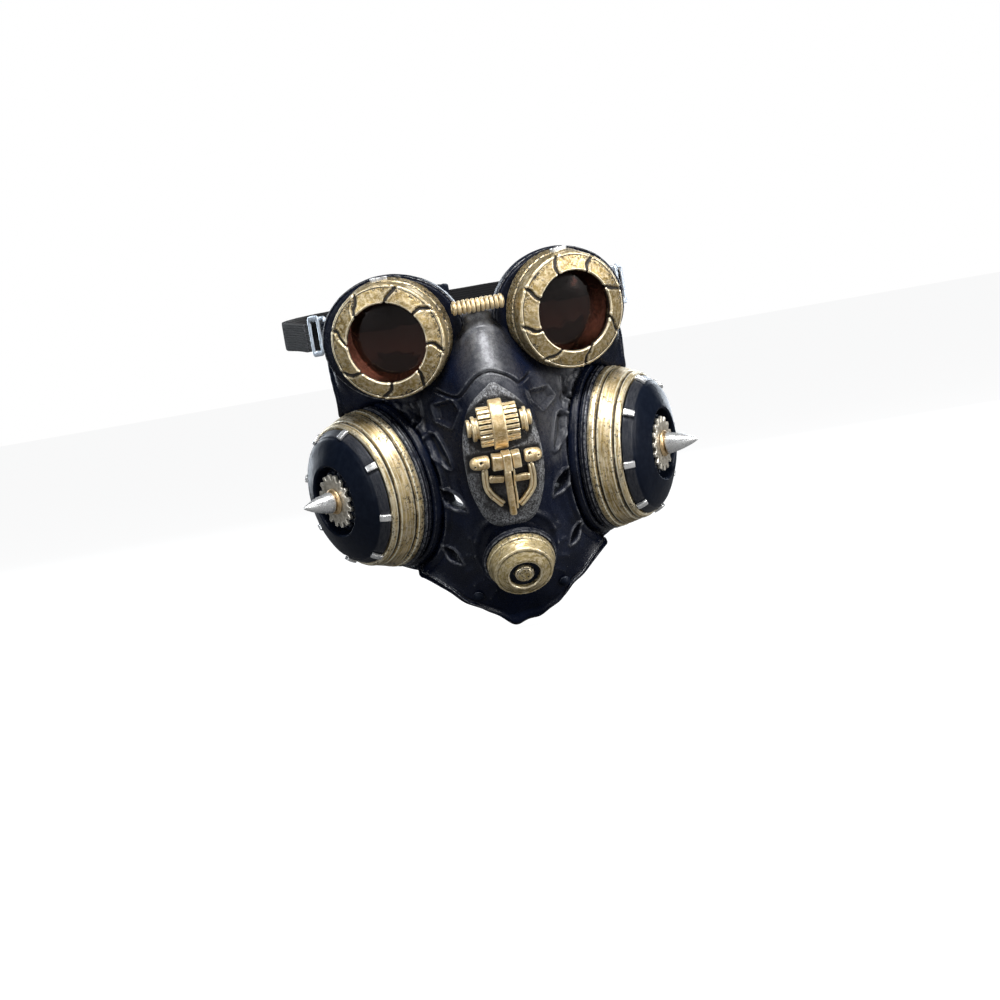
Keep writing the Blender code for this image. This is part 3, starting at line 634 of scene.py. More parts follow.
def mat_silver(name, colour=(0.80, 0.81, 0.83), rough=0.2, dark=0.8, streak=(0.3, 0.3, 2.0), metal=1.0):
    m = Mat(name)
    o = m.obj()
    curv = m.attr("curv")
    mid = m.noise(o, 0.6, 3.0, 0.6)
    line = m.noise(m.loc(streak), 1.6, 3.0, 0.7)
    # painted shade: creases go near-black; the dark streaks along the piece are part of its finish
    wash_and_shade = m.mul(m.top(m.step(curv, -0.08, -0.45), m.mul(m.step(line, 0.66, 0.76), 0.5)), dark)
    base = m.mix(m.step(mid, 0.35, 0.65), tuple(c * 0.86 for c in colour), colour)
    base = m.mix(wash_and_shade, base, (0.03, 0.03, 0.035))
    m.set(Base_Color=base, Metallic=metal, Roughness=m.step(m.add(m.mul(mid, 0.4), m.mul(line, 0.6)), 0.3, 0.7, rough, rough + 0.16))
    m.bump(m.add(m.mul(mid, 0.5), m.mul(line, 0.5)), 0.00018, 0.5)
    return m.m


def mat_leather(name):
    """Grey leather look: pebbled grain, silver dry-brush on the edges, shade in the creases."""
    m = Mat(name)
    o = m.obj()
    curv = m.attr("curv")
    mark = m.attr("mark")
    cells = m.voronoi(o, 1.0, "DISTANCE_TO_EDGE")
    pebble = m.step(cells, 0.0, 0.25)
    mid = m.noise(o, 0.4, 4.0, 0.6)
    grain = m.noise(o, 1.5, 4.0, 0.7)
    fibre = m.noise(m.obj((1.9, 1.0, 0.8)), 1.0, 4.0, 0.75, 0.8)
    base = m.mix(m.step(mid, 0.35, 0.68), (0.010, 0.010, 0.012), (0.040, 0.040, 0.044))
    brush = m.mul(m.step(m.add(m.mul(fibre, 0.6), m.mul(grain, 0.4)), 0.44, 0.60), m.step(m.add(mark, m.mul(m.sub(mid, 0.5), 0.9)), 0.05, 0.85))
    base = m.mix(brush, base, (0.36, 0.37, 0.39))
    rub = m.mul(m.step(curv, 0.15, 0.55), m.step(fibre, 0.38, 0.58))
    base = m.mix(rub, base, (0.62, 0.63, 0.65))
    base = m.mix(m.step(m.attr("shade"), 0.0, 1.0), base, (0.006, 0.006, 0.007))
    m.set(Base_Color=base, Metallic=m.mul(m.top(rub, brush), 0.35), Roughness=m.step(pebble, 0.0, 1.0, 0.58, 0.42), Specular_IOR_Level=0.35)
    m.bump(m.add(m.mul(pebble, 0.6), m.mul(grain, 0.4)), 0.0004, 0.7)
    return m.m


def mat_cap(name):
    """Satin navy-black paint; mark lightens it to brushed grey; creases get painted shade."""
    m = Mat(name)
    o = m.obj()
    curv = m.attr("curv")
    mark = m.attr("mark")
    mid = m.noise(o, 0.35, 4.0, 0.6)
    grain = m.noise(o, 2.4, 3.0, 0.6)
    line = m.noise(m.loc((0.25, 0.25, 2.4)), 1.0, 3.0, 0.7)
    base = m.mix(m.step(mid, 0.35, 0.7), (0.0028, 0.0048, 0.0110), (0.0050, 0.0078, 0.0155))
    brushed = m.mul(mark, m.step(m.add(m.mul(line, 0.6), m.mul(grain, 0.4)), 0.36, 0.62, 0.25, 1.0))
    base = m.mix(brushed, base, (0.045, 0.047, 0.054))
    rub = m.mul(m.step(curv, 0.45, 0.95), m.step(m.add(m.mul(mid, 0.5), m.mul(grain, 0.5)), 0.42, 0.60))
    base = m.mix(m.mul(rub, 0.6), base, (0.25, 0.28, 0.34))
    # painted shade: creases go near-black
    base = m.mix(m.step(curv, -0.1, -0.5), base, (0.003, 0.003, 0.004))
    m.set(Base_Color=base, Metallic=m.add(m.mul(brushed, 0.3), m.mul(rub, 0.3)), Roughness=m.step(m.add(m.mul(mid, 0.5), m.mul(grain, 0.5)), 0.3, 0.7, 0.34, 0.44), Specular_IOR_Level=0.09)
    m.bump(m.add(m.mul(grain, 0.4), m.mul(mid, 0.6)), 0.0002, 0.5)
    return m.m


def mat_lens(name):
    m = Mat(name)
    o = m.obj()
    # painted shade: the tint darkens towards the lens's top, standing in for the shade the goggle casts on it
    up = m.step(m.sep(m.attr("loc", "Vector"))[1], -16.0, 16.0)
    haze = m.noise(o, 0.12, 3.0)
    base = m.mix(m.step(m.add(m.mul(up, 0.7), m.mul(haze, 0.3)), 0.1, 0.85), (0.26, 0.085, 0.050), (0.085, 0.030, 0.020))
    m.set(Base_Color=base, Transmission_Weight=1.0, IOR=1.46, Roughness=m.step(haze, 0.35, 0.7, 0.015, 0.05))
    m.bump(haze, 0.0002, 0.12)
    return m.m


def mat_elastic(name):
    """Woven elastic: fine ribs along the strap, crossed by the knit."""
    m = Mat(name)
    l = m.attr("loc", "Vector")
    s = m.sep(l)
    ribs = m.math("SINE", m.mul(s[1], 2 * math.pi / 1.05))
    knit = m.math("SINE", m.mul(m.add(s[0], m.mul(m.math("SIGN", ribs), 0.18)), 2 * math.pi / 0.72))
    fuzz = m.noise(m.obj(), 1.8, 4.0, 0.7)
    h = m.add(m.mul(ribs, 0.5), m.mul(knit, 0.35))
    base = m.mix(m.step(h, -0.7, 0.8), (0.0015, 0.0015, 0.002), (0.010, 0.010, 0.012))
    base = m.mix(m.mul(m.step(fuzz, 0.5, 0.75), 0.5), base, (0.020, 0.020, 0.024))
    m.set(Base_Color=base, Roughness=m.step(fuzz, 0.3, 0.7, 0.78, 0.95), Sheen_Weight=0.08, Sheen_Roughness=0.5, Specular_IOR_Level=0.2)
    m.bump(m.add(h, m.mul(fuzz, 0.8)), 0.0002, 0.8)
    return m.m


def mat_thread(name, colour=(0.10, 0.10, 0.11)):
    m = Mat(name)
    t = m.noise(m.obj(), 2.5, 3.0, 0.6)
    w = m.math("SINE", m.mul(m.sep(m.attr("loc", "Vector"))[0], 2 * math.pi / 0.5))
    m.set(Base_Color=m.mix(m.step(t, 0.3, 0.7), tuple(c * 0.55 for c in colour), colour), Roughness=m.step(t, 0.3, 0.7, 0.6, 0.85))
    m.bump(m.add(w, t), 0.0001, 0.6)
    return m.m


RUBBER = mat_rubber("latex_black", wear=0.6)
RUBBER_RIM = mat_rubber("latex_rim", rough=0.25, wear=0.8)
RUBBER_RING = mat_rubber("latex_ring_worn", rough=0.28, wear=1.0)
GOLD = mat_gold("gold_dry_brushed")
GOLD_BEZEL = mat_gold("gold_bezel", streak=(0.7, 0.75, 0.65), speckle=1.5, metal=0.85)
GOLD_BAND = mat_gold("gold_band", cream=(0.93, 0.86, 0.70), streak=(0.09, 0.09, 1.9), speckle=0.9)
GOLD_MECH = mat_gold("gold_mechanism", deep=(0.42, 0.28, 0.11), mid_c=(0.70, 0.52, 0.27), cream=(0.92, 0.78, 0.54), speckle=0.7, dark=1.0, wear=1.0, metal=0.6)
GOLD_VALVE = mat_gold("gold_valve", deep=(0.27, 0.20, 0.07), mid_c=(0.50, 0.39, 0.17), speckle=1.0)
COG = mat_gold("cog_silver_brass", deep=(0.34, 0.30, 0.23), mid_c=(0.55, 0.50, 0.41), cream=(0.80, 0.76, 0.67), speckle=0.0, dark=0.6, metal=0.7)
HUB = mat_gold("hub_copper_gold", deep=(0.26, 0.15, 0.06), mid_c=(0.52, 0.34, 0.15), cream=(0.78, 0.60, 0.36), speckle=0.2, metal=0.85)
SILVER = mat_silver("silver_bright", colour=(0.90, 0.905, 0.91), rough=0.22, dark=0.18, streak=(0.7, 0.7, 0.12), metal=0.8)
STEEL = mat_silver("loop_steel", colour=(0.70, 0.78, 0.88), rough=0.28, metal=0.6)
LEATHER = mat_leather("leather_grey")
CAP_PAINT = mat_cap("cap_satin_black")
LENS = mat_lens("lens_smoked_brown")
ELASTIC = mat_elastic("elastic_woven")
THREAD = mat_thread("thread_grey")


# =============================================================================
# face shell: the same cage as the solid, as a smooth bicubic surface with its relief
# =============================================================================
GOGGLE_C, CAN_C, VALVE_C = vec(39.6, -88.0, 0.0), vec(52.3, -52.8, -61.2), vec(0, -88.1, -100.7)
N_VAL = direction(0.0, 38.6)
EYE = {s: Frame(GOGGLE_C, direction(20.8, 9.5, s), s) for s in (1, -1)}
CAN = {s: Frame(CAN_C, direction(63.0, 6.2, s), s) for s in (1, -1)}
VAL = Frame(VALVE_C, N_VAL)

SECTIONS = [
    [(0, -88.5, 7.0), (5, -87.0, 6.5), (10, -80, 4.5), (22, -70, 4.0), (37, -66, 3.0), (50, -60, 1.5), (60, -54, -0.5), (63.5, -46, -1.5)],
    [(0, -97.5, -7), (7, -94.5, -7), (13.5, -85, -8), (23, -76, -8), (37, -71, -8), (50, -66, -8), (60, -58, -9), (64, -48, -10)],
    [(0, -103.5, -18), (8.5, -100.5, -18), (16, -91, -19), (25, -81.5, -21), (37, -74, -22), (49, -67, -22), (60.0, -60.5, -22), (62.6, -52.5, -25)],
    [(0, -105.5, -31), (10, -103, -31), (18, -94.5, -32), (25.5, -85, -33), (33, -76, -34), (43, -65, -34), (55, -53, -34), (64.2, -43, -35)],
    [(0, -105.5, -46), (10.5, -103, -46), (18.5, -94.5, -46), (26, -84, -47), (32, -75, -47), (42, -57, -47), (52, -38, -47), (60, -21, -46)],
    [(0, -103, -60), (10.5, -100.5, -60), (18.5, -92, -60), (26, -81.5, -60), (32, -73, -60), (42, -55, -60), (51, -37, -60), (59, -19, -60)],
    [(0, -94.5, -74), (10, -93, -74), (18.5, -87, -74), (26, -79, -74), (32, -70.5, -74), (41, -53, -74), (50, -35, -74), (58, -18, -74)],
    [(0, -88, -88), (9.5, -87, -88), (18, -83, -88), (25.5, -76.5, -88), (32, -69, -88), (40.5, -53, -88), (49, -37, -88), (56, -23.5, -85)],
    [(0, -84.5, -101), (9, -83.5, -101), (17, -79.5, -101), (24.5, -74, -100.5), (31.5, -68.5, -98), (40, -57, -95.5), (48, -41, -93.5), (54, -27.5, -88.5)],
    [(0, -74, -113), (8.5, -73.5, -113), (16, -72, -112.5), (23, -70, -110), (31, -67.5, -104), (39.5, -60, -98.5), (47.5, -43, -96.5), (53.5, -29, -91.5)],
    [(0, -61.5, -129.5), (7.5, -63, -128.0), (14.5, -67, -122.5), (22, -68.5, -117.5), (31, -67.5, -108.5), (40, -62, -100.0), (47.5, -44.5, -97.8), (53, -30.5, -93.5)],
]


def spline_matrix(n, ts):
    """Uniform cubic B-spline rows whose curve ends on its first and last points."""
    out = np.zeros((len(ts), n))
    for r, t in enumerate(ts):
        k = min(int(t), n - 2)
        f = t - k
        w = ((1 - f) ** 3 / 6, (3 * f ** 3 - 6 * f * f + 4) / 6, (-3 * f ** 3 + 3 * f * f + 3 * f + 1) / 6, f ** 3 / 6)
        for j, wj in enumerate(w):
            i = k - 1 + j
            if i < 0:
                out[r, 0] += 2 * wj
                out[r, 1] -= wj
            elif i >= n:
                out[r, n - 1] += 2 * wj
                out[r, n - 2] -= wj
            else:
                out[r, i] += wj
    return out


def seated(p, centre, normal, height, r_in, r_out):
    v = p - centre
    d = v @ normal
    r = np.linalg.norm(v - d[:, None] * normal, axis=1)
    k = smoothstep(v[:, 2], 18.0, 28.0)
    out = k * smoothstep(np.abs(p[:, 0]), 49.0, 56.0)
    low = smoothstep(-v[:, 2], 26.0, 36.0)
    r_in = r_in - 5.8 * out - 1.2 * low
    r_out = r_out - 5.0 * k - 6.9 * out - 4.5 * low
    w = np.where(r <= r_in, 1.0, 0.5 + 0.5 * np.cos(math.pi * np.clip((r - r_in) / (r_out - r_in), 0, 1)))
    w = np.where((np.abs(d - height) > 22) | (r >= r_out), 0, w)
    return p + normal * ((height - d) * w)[:, None]


def leaf_outline(length, width, lean, at, normal, side):
    f = Frame(at, vec(side * normal[0], normal[1], normal[2]), side).turned(side * lean)
    t = np.linspace(-1, 1, 25)
    up = np.stack([length / 2 * t, width / 2 * (1 - t * t)], 1)
    dn = np.stack([length / 2 * t[::-1], -width / 2 * (1 - t[::-1] ** 2)], 1)
    return f, np.vstack([up[:-1], dn[:-1]])


VENTS = []
for s in (1, -1):
    VENTS.append(leaf_outline(15.0, 5.6, 48, (23.2, -83, -71), (0.72, -0.69, -0.1), s))
    VENTS.append(leaf_outline(10.8, 4.4, 50, (28.4, -74.5, -95.4), (0.66, -0.72, -0.25), s))


def build_shell():
    ctrl = np.array([[(-x, y, z) for x, y, z in row[:0:-1]] + list(row) for row in SECTIONS], float)
    cols = []
    for c in range(14):
        k = 22 if 3 <= c < 11 else 13
        cols += [c + i / k for i in range(k)]
    cols.append(14.0)
    rows = []
    for r in range(10):
        rows += [r + i / 24 for i in range(24)]
    rows.append(10.0)
    bu, bv = spline_matrix(15, cols), spline_matrix(11, rows)
    P = np.einsum("ri,ijk,cj->rck", bv, ctrl, bu)
    nr, nc = P.shape[:2]
    P = P.reshape(-1, 3)
    U = np.tile(np.array(cols) - 7, nr)
    V = np.repeat(np.array(rows), nc)
    for s in (1, -1):
        n = direction(63.0, 6.2, s)
        half = (P[:, 0] * s >= 0)
        P[half] = seated(P[half], CAN[s].o, n, -8.4, 39.4, 46.5)
    # the real one is a single moulding: the skin runs on under the goggle rims, so it is
    # drawn forward to meet the back of each rim
    for s in (1, -1):
        l = EYE[s].into(P)
        r = np.hypot((l[:, 0] - s * 1.1) / (31.8 / 27.2), l[:, 1] + 1.2)
        w = smoothstep(r, 33.5, 27.0) * smoothstep(l[:, 2], -30.0, -20.0)
        lift = np.clip(-15.6 - l[:, 2], 0, 6.0) * w
        P = P + lift[:, None] * EYE[s].z
    # the leaf vents: the skin stops just outside each outline, under the lip made below
    hole = np.zeros(len(P), bool)
    vent = np.zeros(len(P), bool)
    lip = np.full(len(P), 99.0)
    for f, poly in VENTS:
        l = f.into(P)
        near = (np.abs(l[:, 0]) < 13) & (np.abs(l[:, 1]) < 9) & (np.abs(l[:, 2]) < 14)
        idx = np.where(near)[0]
        q = l[idx]
        sd = poly_sd(q[:, 0], q[:, 1], poly)
        vent[idx] |= sd < 0.15
        lip[idx] = np.minimum(lip[idx], np.where(sd < 0, 0, sd))
    # openings behind the lenses and the bore behind the chin valve
    for s in (1, -1):
        l = EYE[s].into(P)
        hole |= (np.hypot(l[:, 0], l[:, 1]) < 22.6) & (l[:, 2] > -45) & (l[:, 2] < 5)
    l = VAL.into(P)
    hole |= (np.hypot(l[:, 0], l[:, 1]) < 12.6) & (l[:, 2] > -25) & (l[:, 2] < 15)
    faces = np.array(grid_faces(nr, nc))
    keep = ~(hole[faces].all(1) | vent[faces].any(1))
    faces = faces[keep]
    ob = mesh_of("shell_skin", P, faces.tolist())
    # drop loose vertices left inside the openings
    used = np.zeros(len(P), bool)
    used[faces.ravel()] = True
    bm = bmesh.new()
    bm.from_mesh(ob.data)
    bm.verts.ensure_lookup_table()
    bmesh.ops.delete(bm, geom=[bm.verts[i] for i in np.where(~used)[0]], context="VERTS")
    bm.to_mesh(ob.data)
    bm.free()
    P, U, V, lip = P[used], U[used], V[used], lip[used]
    nn = normals_of(ob.data)
    if nn[:, 1].mean() > 0:
        ob.data.flip_normals()
        ob.data.update()
        nn = normals_of(ob.data)
    x, y, z = P.T
    h = np.zeros(len(P))
    mark = np.zeros(len(P))
    front = smoothstep(-y, 40, 48)

    def groove(path, depth=0.8, width=0.75, lip_h=0.18, taper=0.08):
        nonlocal h
        d, t = path_dist(x, z, curve_through(path, 6))
        g = smoothstep(t, 0, taper) * smoothstep(1 - t, 0, taper) if taper else 1.0
        h = h + front * g * (-depth * (1 - smoothstep(d, 0.15 * width, width)) + lip_h * np.exp(-((d - width * 1.5) / (0.6 * width)) ** 2))

    def ridge(path, height=0.5, width=0.8):
        nonlocal h
        d, t = path_dist(x, z, curve_through(path, 6))
        g = smoothstep(t, 0, 0.15) * smoothstep(1 - t, 0, 0.15)
        h = h + front * g * height * np.exp(-(d / width) ** 2)

    def recess(poly, depth=1.1, soft=1.2, rim=0.45, rim_w=0.55):
        nonlocal h
        sd = poly_sd(x, z, poly)
        h = h + front * (-depth * smoothstep(-sd, -0.1, soft) + rim * np.exp(-((sd - 0.75) / rim_w) ** 2))
        return sd

    # crease over the nose bridge and the soft step below it
    ridge([(-10.5, -8.5), (-8.6, -4.6), (-5.2, -1.8), (0, -0.6), (5.0, -1.7), (8.2, -4.2), (10.0, -8.0)], 0.65, 0.85)
    groove([(-9.6, -6.8), (-5.4, -3.3), (0, -2.1), (5.2, -3.2), (9.2, -6.4)], 0.25, 1.3, 0.0)
    # M-shaped fold over the plaque
    groove([(-24.0, -23.0), (-19.5, -26.6), (-15.5, -28.3), (-12.6, -26.5), (-8.6, -22.4), (-4.8, -20.2), (-0.4, -19.7), (4.4, -21.5), (8.4, -24.2), (10.9, -26.4), (13.8, -25.3), (18.0, -22.6)], 1.15, 0.8, 0.35, 0.03)
    # cheek panels
    recess([(-25.2, -30.0), (-18.0, -29.2), (-16.2, -33.9), (-19.6, -40.2), (-24.8, -36.4)], 1.6, 1.2, 0.60)
    recess([(15.0, -30.9), (23.8, -30.4), (26.0, -34.9), (19.8, -39.4), (16.2, -35.4)], 1.6, 1.2, 0.75)
    for s in (1, -1):
        slot_path = [(s * 28.6, -41.6), (s * 30.4, -44.0), (s * 28.6, -49.5), (s * 24.4, -56.4), (s * 22.4, -57.6), (s * 22.8, -53.5), (s * 25.0, -46.2), (s * 26.6, -42.4)]
        recess(slot_path, 2.1, 1.1, 0.85)
        # curved folds that run from under the goggle to the canister
        groove([(s * 32.4, -26.5), (s * 31.7, -31.5), (s * 32.4, -36.0), (s * 36.2, -39.6), (s * 41.5, -43.4)], 1.5, 0.95, 0.70, 0.05)
        groove([(s * 39.6, -25.0), (s * 38.0, -29.0), (s * 38.6, -33.0), (s * 43.2, -38.4)], 1.5, 0.95, 0.70, 0.05)
        groove([(s * 43.8, -23.0), (s * 45.0, -27.5), (s * 48.5, -32.0)], 1.2, 0.9, 0.60, 0.05)
        # folds below the slot, on either side of the chin valve
        ridge([(s * 20.5, -60.0), (s * 18.6, -68.0), (s * 17.0, -79.0), (s * 18.2, -88.0)], 0.55, 1.5)
        ridge([(s * 31.5, -63.0), (s * 31.0, -72.0), (s * 31.6, -84.0), (s * 33.4, -92.0)], 0.5, 1.4)
        groove([(s * 33.8, -60.5), (s * 33.2, -72.0), (s * 34.2, -84.0), (s * 36.4, -92.0)], 0.5, 1.0, 0.1)
        # puckers that spread from the chin valve
        for a in (-152, -128, -30, -12, 8, 172, 190, 28, 152):
            c, q = math.cos(math.radians(a)), math.sin(math.radians(a))
            ridge([(16.8 * c, -99 + 16.8 * q), (20.5 * c, -99 + 20.0 * q), (23.5 * c, -99 + 22.5 * q)], 0.22, 1.0)
    # raised collar round the chin valve
    l = VAL.into(P)
    rv = np.hypot(l[:, 0], l[:, 1])
    h += 0.9 * np.exp(-((rv - 17.6) / 1.2) ** 2) * (l[:, 2] > -14)
    # ridge and groove pressed into the skin round each canister flange
    for s in (1, -1):
        l = CAN[s].into(P)
        rc = np.hypot(l[:, 0], l[:, 1])
        on = (np.abs(l[:, 2] + 8.4) < 5)
        h += on * (0.9 * np.exp(-((rc - 39.6) / 0.9) ** 2) - 0.6 * np.exp(-((rc - 41.8) / 0.8) ** 2))
    # the rolled edge, with a soft wave along the chin
    edge = np.minimum(np.minimum(10 - V, V * 1.0), (7 - np.abs(U)) * 0.9)
    h += 0.9 * np.exp(-((edge - 0.10) / 0.075) ** 2) - 0.35 * np.exp(-((edge - 0.27) / 0.07) ** 2)
    # unevenness of a hand-made moulding
    h += 0.35 * pnoise(P / 13.0, 3) + 0.12 * pnoise(P / 4.5, 4) + 0.035 * pnoise(P / 1.4, 9)
    P2 = P + nn * h[:, None]
    # wave of the chin edge
    chin = smoothstep(V, 9.0, 10.0) * smoothstep(np.abs(x), 34, 20)
    P2[:, 2] += chin * (0.7 * np.sin(x / 2.9) + 0.4 * np.sin(x / 1.7 + 1.0))
    # where the graphite has been sprayed; the nose share is high enough to bring up the painted nose highlight in the
    # latex, and the right cheek is sprayed far lighter than the left as painted light from the right
    nose = smoothstep(np.abs(x + 0.5), 15, 3) * smoothstep(z, -36, -22)
    right = smoothstep(x, 14, 22) * smoothstep(x, 46, 38) * smoothstep(z, -66, -52) * smoothstep(z, -20, -26)
    left = smoothstep(-x, 14, 22) * smoothstep(-x, 46, 38) * smoothstep(z, -66, -52)
    low = smoothstep(z, -112, -100) * smoothstep(z, -80, -92) * smoothstep(np.abs(x), 34, 18)
    mark = np.clip(0.85 * nose + 0.58 * right + 0.06 * left + 0.05 * low, 0, 1)
    set_verts(ob.data, P2 * MM)
    put_float(ob, "mark", mark)
    put_vector(ob, "loc", P2)
    so = ob.modifiers.new("wall", "SOLIDIFY")
    so.thickness = 2.1 * MM
    so.offset = -1.0
    so.use_even_offset = False
    ob = evaluated(ob)
    # vents: a rolled lip outside, and a wall that turns in behind it
    lips = [ob]
    for f, poly in VENTS:
        m = 120
        closed = np.vstack([poly, poly[:1]])
        d = np.concatenate([[0], np.cumsum(np.linalg.norm(np.diff(closed, axis=0), axis=1))])
        t = np.arange(m) / m * d[-1]
        ring = np.stack([np.interp(t, d, closed[:, 0]), np.interp(t, d, closed[:, 1])], 1)
        tang = np.roll(ring, -1, 0) - np.roll(ring, 1, 0)
        tang /= np.linalg.norm(tang, axis=1, keepdims=True)
        nrm2 = np.stack([tang[:, 1], -tang[:, 0]], 1)
        if ((ring - ring.mean(0)) * nrm2).sum(1).mean() < 0:
            nrm2 = -nrm2
        for _ in range(2):
            nrm2 = (np.roll(nrm2, 1, 0) + 2 * nrm2 + np.roll(nrm2, -1, 0)) / 4
        nrm2 /= np.linalg.norm(nrm2, axis=1, keepdims=True)
        l = f.into(P2)
        l = l[(np.abs(l[:, 0]) < 14) & (np.abs(l[:, 1]) < 10) & (np.abs(l[:, 2]) < 14)]
        seat = ring + nrm2 * 1.2
        dist = np.linalg.norm(seat[:, None] - l[None, :, :2], axis=2)
        w = np.exp(-(dist / 0.8) ** 2) + 1e-9
        z0 = (w * l[None, :, 2]).sum(1) / w.sum(1)
        for _ in range(4):
            z0 = (np.roll(z0, 1) + 2 * z0 + np.roll(z0, -1)) / 4
        prof = [(2.3, -0.9), (1.9, -0.15), (1.5, 0.22), (1.05, 0.48), (0.6, 0.5), (0.25, 0.3), (0.05, -0.05), (-0.05, -0.6), (-0.12, -2.5), (-0.10, -6.6), (0.2, -7.2), (0.7, -6.4), (1.3, -2.4)]
        rows = [np.column_stack([ring + nrm2 * a, z0 + b]) for a, b in prof]
        local = np.vstack(rows)
        piece = mesh_of("lip", f.out(local), grid_faces(len(prof), m, wrap_r=True, wrap_c=True))
        outward(piece)
        put_float(piece, "mark", np.full(len(local), 0.15))
        put_vector(piece, "loc", f.out(local))
        lips.append(piece)
    ob = joined("face_shell_latex", lips)
    return settle(ob, RUBBER, "mask", "black_rubber", "face_shell", sharp=None, gain=0.8, times=1)


build_shell()


# =============================================================================
# goggles
# =============================================================================
CRACKS = {
    -1: [[(9.2, 23.9), (7.2, 21.7), (4.2, 19.5), (2.4, 16.4)], [(-10.1, 22.4), (-10.3, 18.8), (-11.6, 16.1), (-11.0, 12.9)],
         [(-23.4, 9.3), (-20.8, 7.7), (-20.1, 5.1), (-17.4, 1.6)], [(-22.6, -9.6), (-20.3, -11.0), (-18.0, -11.6), (-13.4, -10.6)],
         [(-8.4, -24.0), (-5.3, -22.3), (-2.5, -20.3), (-1.4, -16.8)], [(11.4, -22.8), (11.7, -18.5), (11.9, -15.6), (10.4, -12.3)],
         [(23.6, -8.7), (21.8, -5.7), (19.9, -3.6), (16.6, -3.2)], [(22.6, 10.8), (19.9, 11.6), (16.7, 12.0), (13.6, 10.0)]],
    1: [[(-4.9, 24.6), (-6.2, 21.7), (-6.8, 18.8), (-5.8, 15.9)], [(12.4, 21.7), (9.8, 19.7), (8.3, 18.7), (7.7, 15.8)],
        [(24.4, 5.7), (19.3, 6.9), (16.4, 7.8), (13.9, 7.4)], [(21.8, -12.8), (19.6, -10.4), (18.6, -7.5), (16.4, -4.9)],
        [(4.2, -24.6), (4.3, -20.9), (5.8, -18.5), (6.8, -15.6)], [(-16.0, -19.4), (-13.5, -18.6), (-10.2, -18.0), (-7.4, -15.6)],
        [(-24.9, -3.8), (-22.2, -4.5), (-19.2, -6.4), (-16.1, -5.8)], [(-21.9, 12.5), (-19.6, 11.2), (-17.7, 8.3), (-14.7, 6.5)]],
}
BEZEL = [(17.2, 3.3), (17.75, 3.75), (18.5, 3.45), (19.3, 3.15), (23.7, 1.15), (24.05, 1.25), (24.6, 1.0), (25.0, 0.25), (25.15, -4.3), (24.65, -4.7), (24.6, -5.5),
         (25.25, -6.0), (25.75, -10.6), (25.4, -11.3), (23.9, -11.3), (23.7, -1.5), (17.2, 1.3)]
HOUSING = [(23.3, -7.4), (23.3, -11.7), (26.1, -11.9), (26.5, -12.6), (26.6, -13.0), (27.0, -12.7), (27.35, -13.2), (27.3, -15.9), (26.4, -16.9), (25.0, -17.3),
           (23.6, -23.0), (21.8, -23.0), (21.0, -9.4), (21.0, -7.4)]


def oval(side, start=25.9):
    def go(l):
        r = np.hypot(l[:, 0], l[:, 1])
        a = np.arctan2(l[:, 1], side * l[:, 0])
        k = r / 27.2
        w = smoothstep(r, start - 0.6, start + 0.3)
        nx = side * (1.1 + 31.8 * np.cos(a) * k)
        ny = -1.2 + r * np.sin(a)
        out = l.copy()
        out[:, 0] += (nx - l[:, 0]) * w
        out[:, 1] += (ny - l[:, 1]) * w
        return out
    return go


